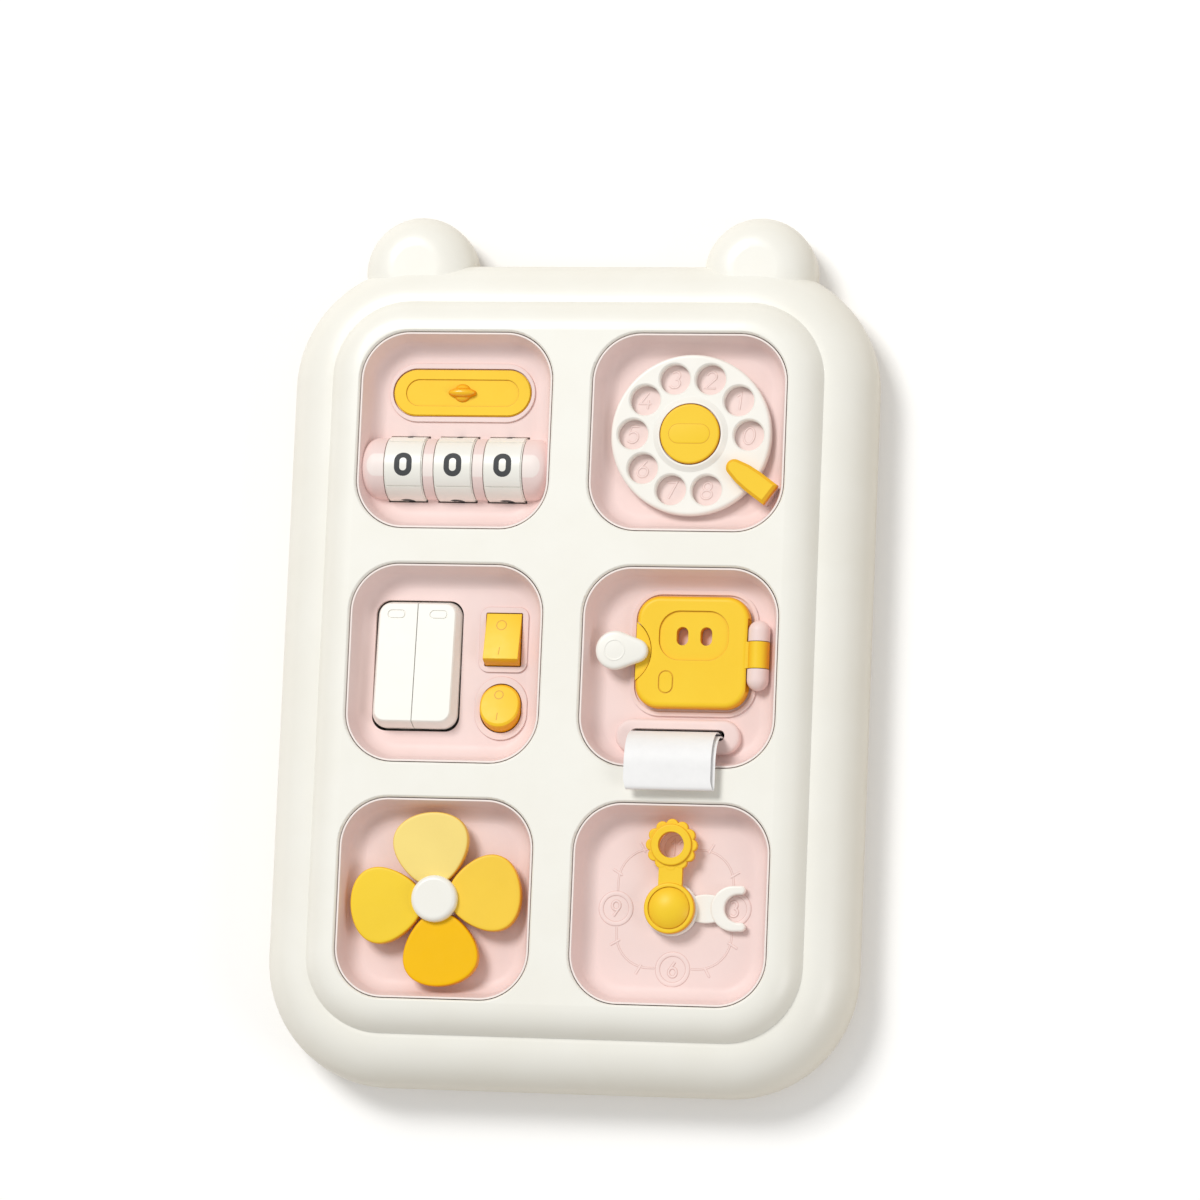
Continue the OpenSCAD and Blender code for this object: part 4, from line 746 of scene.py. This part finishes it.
o = put("hour_hand_round", hour_hand(), BODY_OF["hour_hand"], IVORY, smooth=35)
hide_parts("hour_hand")

# ---------- the thumb knob: a low dome with a lens-shaped fin across it, on a stem ----------
KNOB_LOW, DOME_R, DOME_H, DOME_N = -12.7, 3.7, 1.9, 40
FIN_HALF, FIN_SIDE, FIN_FOOT, FIN_RISE = 6.0, 2.2, 1.1, 2.1
FIN_BLUNT = 0.12        # the fin's height falls off over this share of its half length
STEM_W, STEM_MID, STEM_H = 3, -14.9, 4.4


def thumb_knob():
    place = flat_place(PLATE_X, PLATE_Y, KNOB_LOW)
    bm = bmesh.new()
    dome = [[bm.verts.new(place(DOME_R * c * math.cos(u), DOME_R * c * math.sin(u), DOME_H * s))
             for u in full_turn(DOME_N)] for c, s in arc(0, 0, 1, 1, 0, 90, 8)[:-1]]
    tip = bm.verts.new(place(0, 0, DOME_H))
    skin(bm, dome)
    for j in range(DOME_N):
        bm.faces.new((dome[-1][j], dome[-1][(j + 1) % DOME_N], tip))
    bm.faces.new(dome[0][::-1])
    fin = []
    for k in range(1, 32):
        u = -1 + 2 * k / 32
        swell = (1 - u * u) ** 0.6
        w = FIN_SIDE * swell
        h = (FIN_FOOT + FIN_RISE * swell) * min(1.0, (1 - abs(u)) / FIN_BLUNT) ** 0.5
        fin.append([bm.verts.new(place(FIN_HALF * u, w * c, h * s ** 0.9))
                    for c, s in arc(0, 0, 1, 1, 0, 180, 12)])
    skin(bm, fin)
    bm.faces.new(fin[0])
    bm.faces.new(fin[-1])
    for v in bmesh.ops.create_cube(bm, size=1.0)["verts"]:
        v.co = P(PLATE_X + STEM_W * v.co.x, PLATE_Y + v.co.y, STEM_MID + STEM_H * v.co.z)
    return closed_mesh("thumb_knob", bm)


knob = put("thumb_knob", thumb_knob(), "knob", KNOB, smooth=45)
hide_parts("slide_knob")

# ---------- rounded copies of the toys' CAD solids ----------
SOFTEN = {"small_rocker": 0.7, "round_rocker": 0.5, "door_latch": 0.8}
for node, width in SOFTEN.items():
    softened(node, width)

# ---------- floor and world ----------
FLOOR_GLOW, WORLD_LIGHT = 0.16, 0.41
WHITE = (1, 1, 1, 1)


def floor_material():
    """Near white to the camera and in reflections, and warm in the light that it throws back on the part."""
    mat = bpy.data.materials.new("floor")
    tree = empty_tree(mat)
    place = add(tree, "TexCoord").outputs["Object"]
    pale = mix_colour(tree, spread(tree, noise(tree, place, 3)), srgb(246, 246, 245), srgb(249, 249, 248))
    seen = add(tree, "BsdfDiffuse", {"Color": pale})
    below = add(tree, "BsdfDiffuse", {"Color": srgb(206, 190, 164)})
    glow = add(tree, "Emission", {"Color": WHITE, "Strength": FLOOR_GLOW})
    bright = add(tree, "AddShader", {0: seen.outputs[0], 1: glow.outputs[0]})
    ray = add(tree, "LightPath").outputs
    either = add(tree, "Math", {0: ray["Is Camera Ray"], 1: ray["Is Glossy Ray"]}, operation="MAXIMUM")
    mixed = add(tree, "MixShader", {0: either.outputs[0], 1: below.outputs[0], 2: bright.outputs[0]})
    add(tree, "OutputMaterial", {"Surface": mixed.outputs[0]})
    return mat


bm = bmesh.new()
bmesh.ops.create_grid(bm, x_segments=2, y_segments=2, size=6)
floor = bpy.data.objects.new("floor", to_mesh("floor", bm))
floor.location = (0, 0, -0.0002)
bpy.context.collection.objects.link(floor)
floor.data.materials.append(floor_material())

world = bpy.data.worlds.new("world")
bpy.context.scene.world = world
tree = empty_tree(world)
soft = add(tree, "Background", {"Color": (1.0, 0.99, 0.98, 1), "Strength": WORLD_LIGHT})
seen = add(tree, "Background", {"Color": WHITE, "Strength": 1.0})
camera_ray = add(tree, "LightPath").outputs["Is Camera Ray"]
sky = add(tree, "MixShader", {0: camera_ray, 1: soft.outputs[0], 2: seen.outputs[0]})
add(tree, "OutputWorld", {"Surface": sky.outputs[0]})

# ---------- lamps and camera ----------
AIM = Vector((0, 0, 0.02))


def lamp(name, place, size, power, colour):
    """A square lamp that faces the middle of the board."""
    data = bpy.data.lights.new(name, "AREA")
    data.energy = power
    data.color = colour
    data.shape = "RECTANGLE"
    data.size = size
    data.size_y = size
    o = bpy.data.objects.new(name, data)
    o.location = place
    o.rotation_mode = "QUATERNION"
    o.rotation_quaternion = (AIM - Vector(place)).to_track_quat("-Z", "Y")
    bpy.context.collection.objects.link(o)


lamp("key", (-1.86, 2.4, 4.35), 1.8, 165.0, (1.0, 0.993, 0.98))
lamp("fill", (1.8, -0.6, 1.3), 0.9, 7.5, (1.0, 0.99, 0.98))

# the camera's place and angles were solved from the corners of the six windows in the photograph
CAM_PLACE = P(459.74, -254.83, 2157.74)
CAM_X, CAM_Y, CAM_Z = -0.12692, -0.20318, -0.04133
turn = Matrix.Rotation(CAM_Z, 3, "Z") @ Matrix.Rotation(CAM_X, 3, "X") @ Matrix.Rotation(CAM_Y, 3, "Y")
cam_data = bpy.data.cameras.new("camera")
cam = bpy.data.objects.new("camera", cam_data)
bpy.context.collection.objects.link(cam)
cam.matrix_world = Matrix.Translation(CAM_PLACE) @ turn.transposed().to_4x4()
cam_data.lens = 166.43
cam_data.sensor_width = 36
cam_data.clip_start = 0.05
cam_data.clip_end = 20
bpy.context.scene.camera = cam
bpy.context.scene.view_settings.view_transform = "Standard"
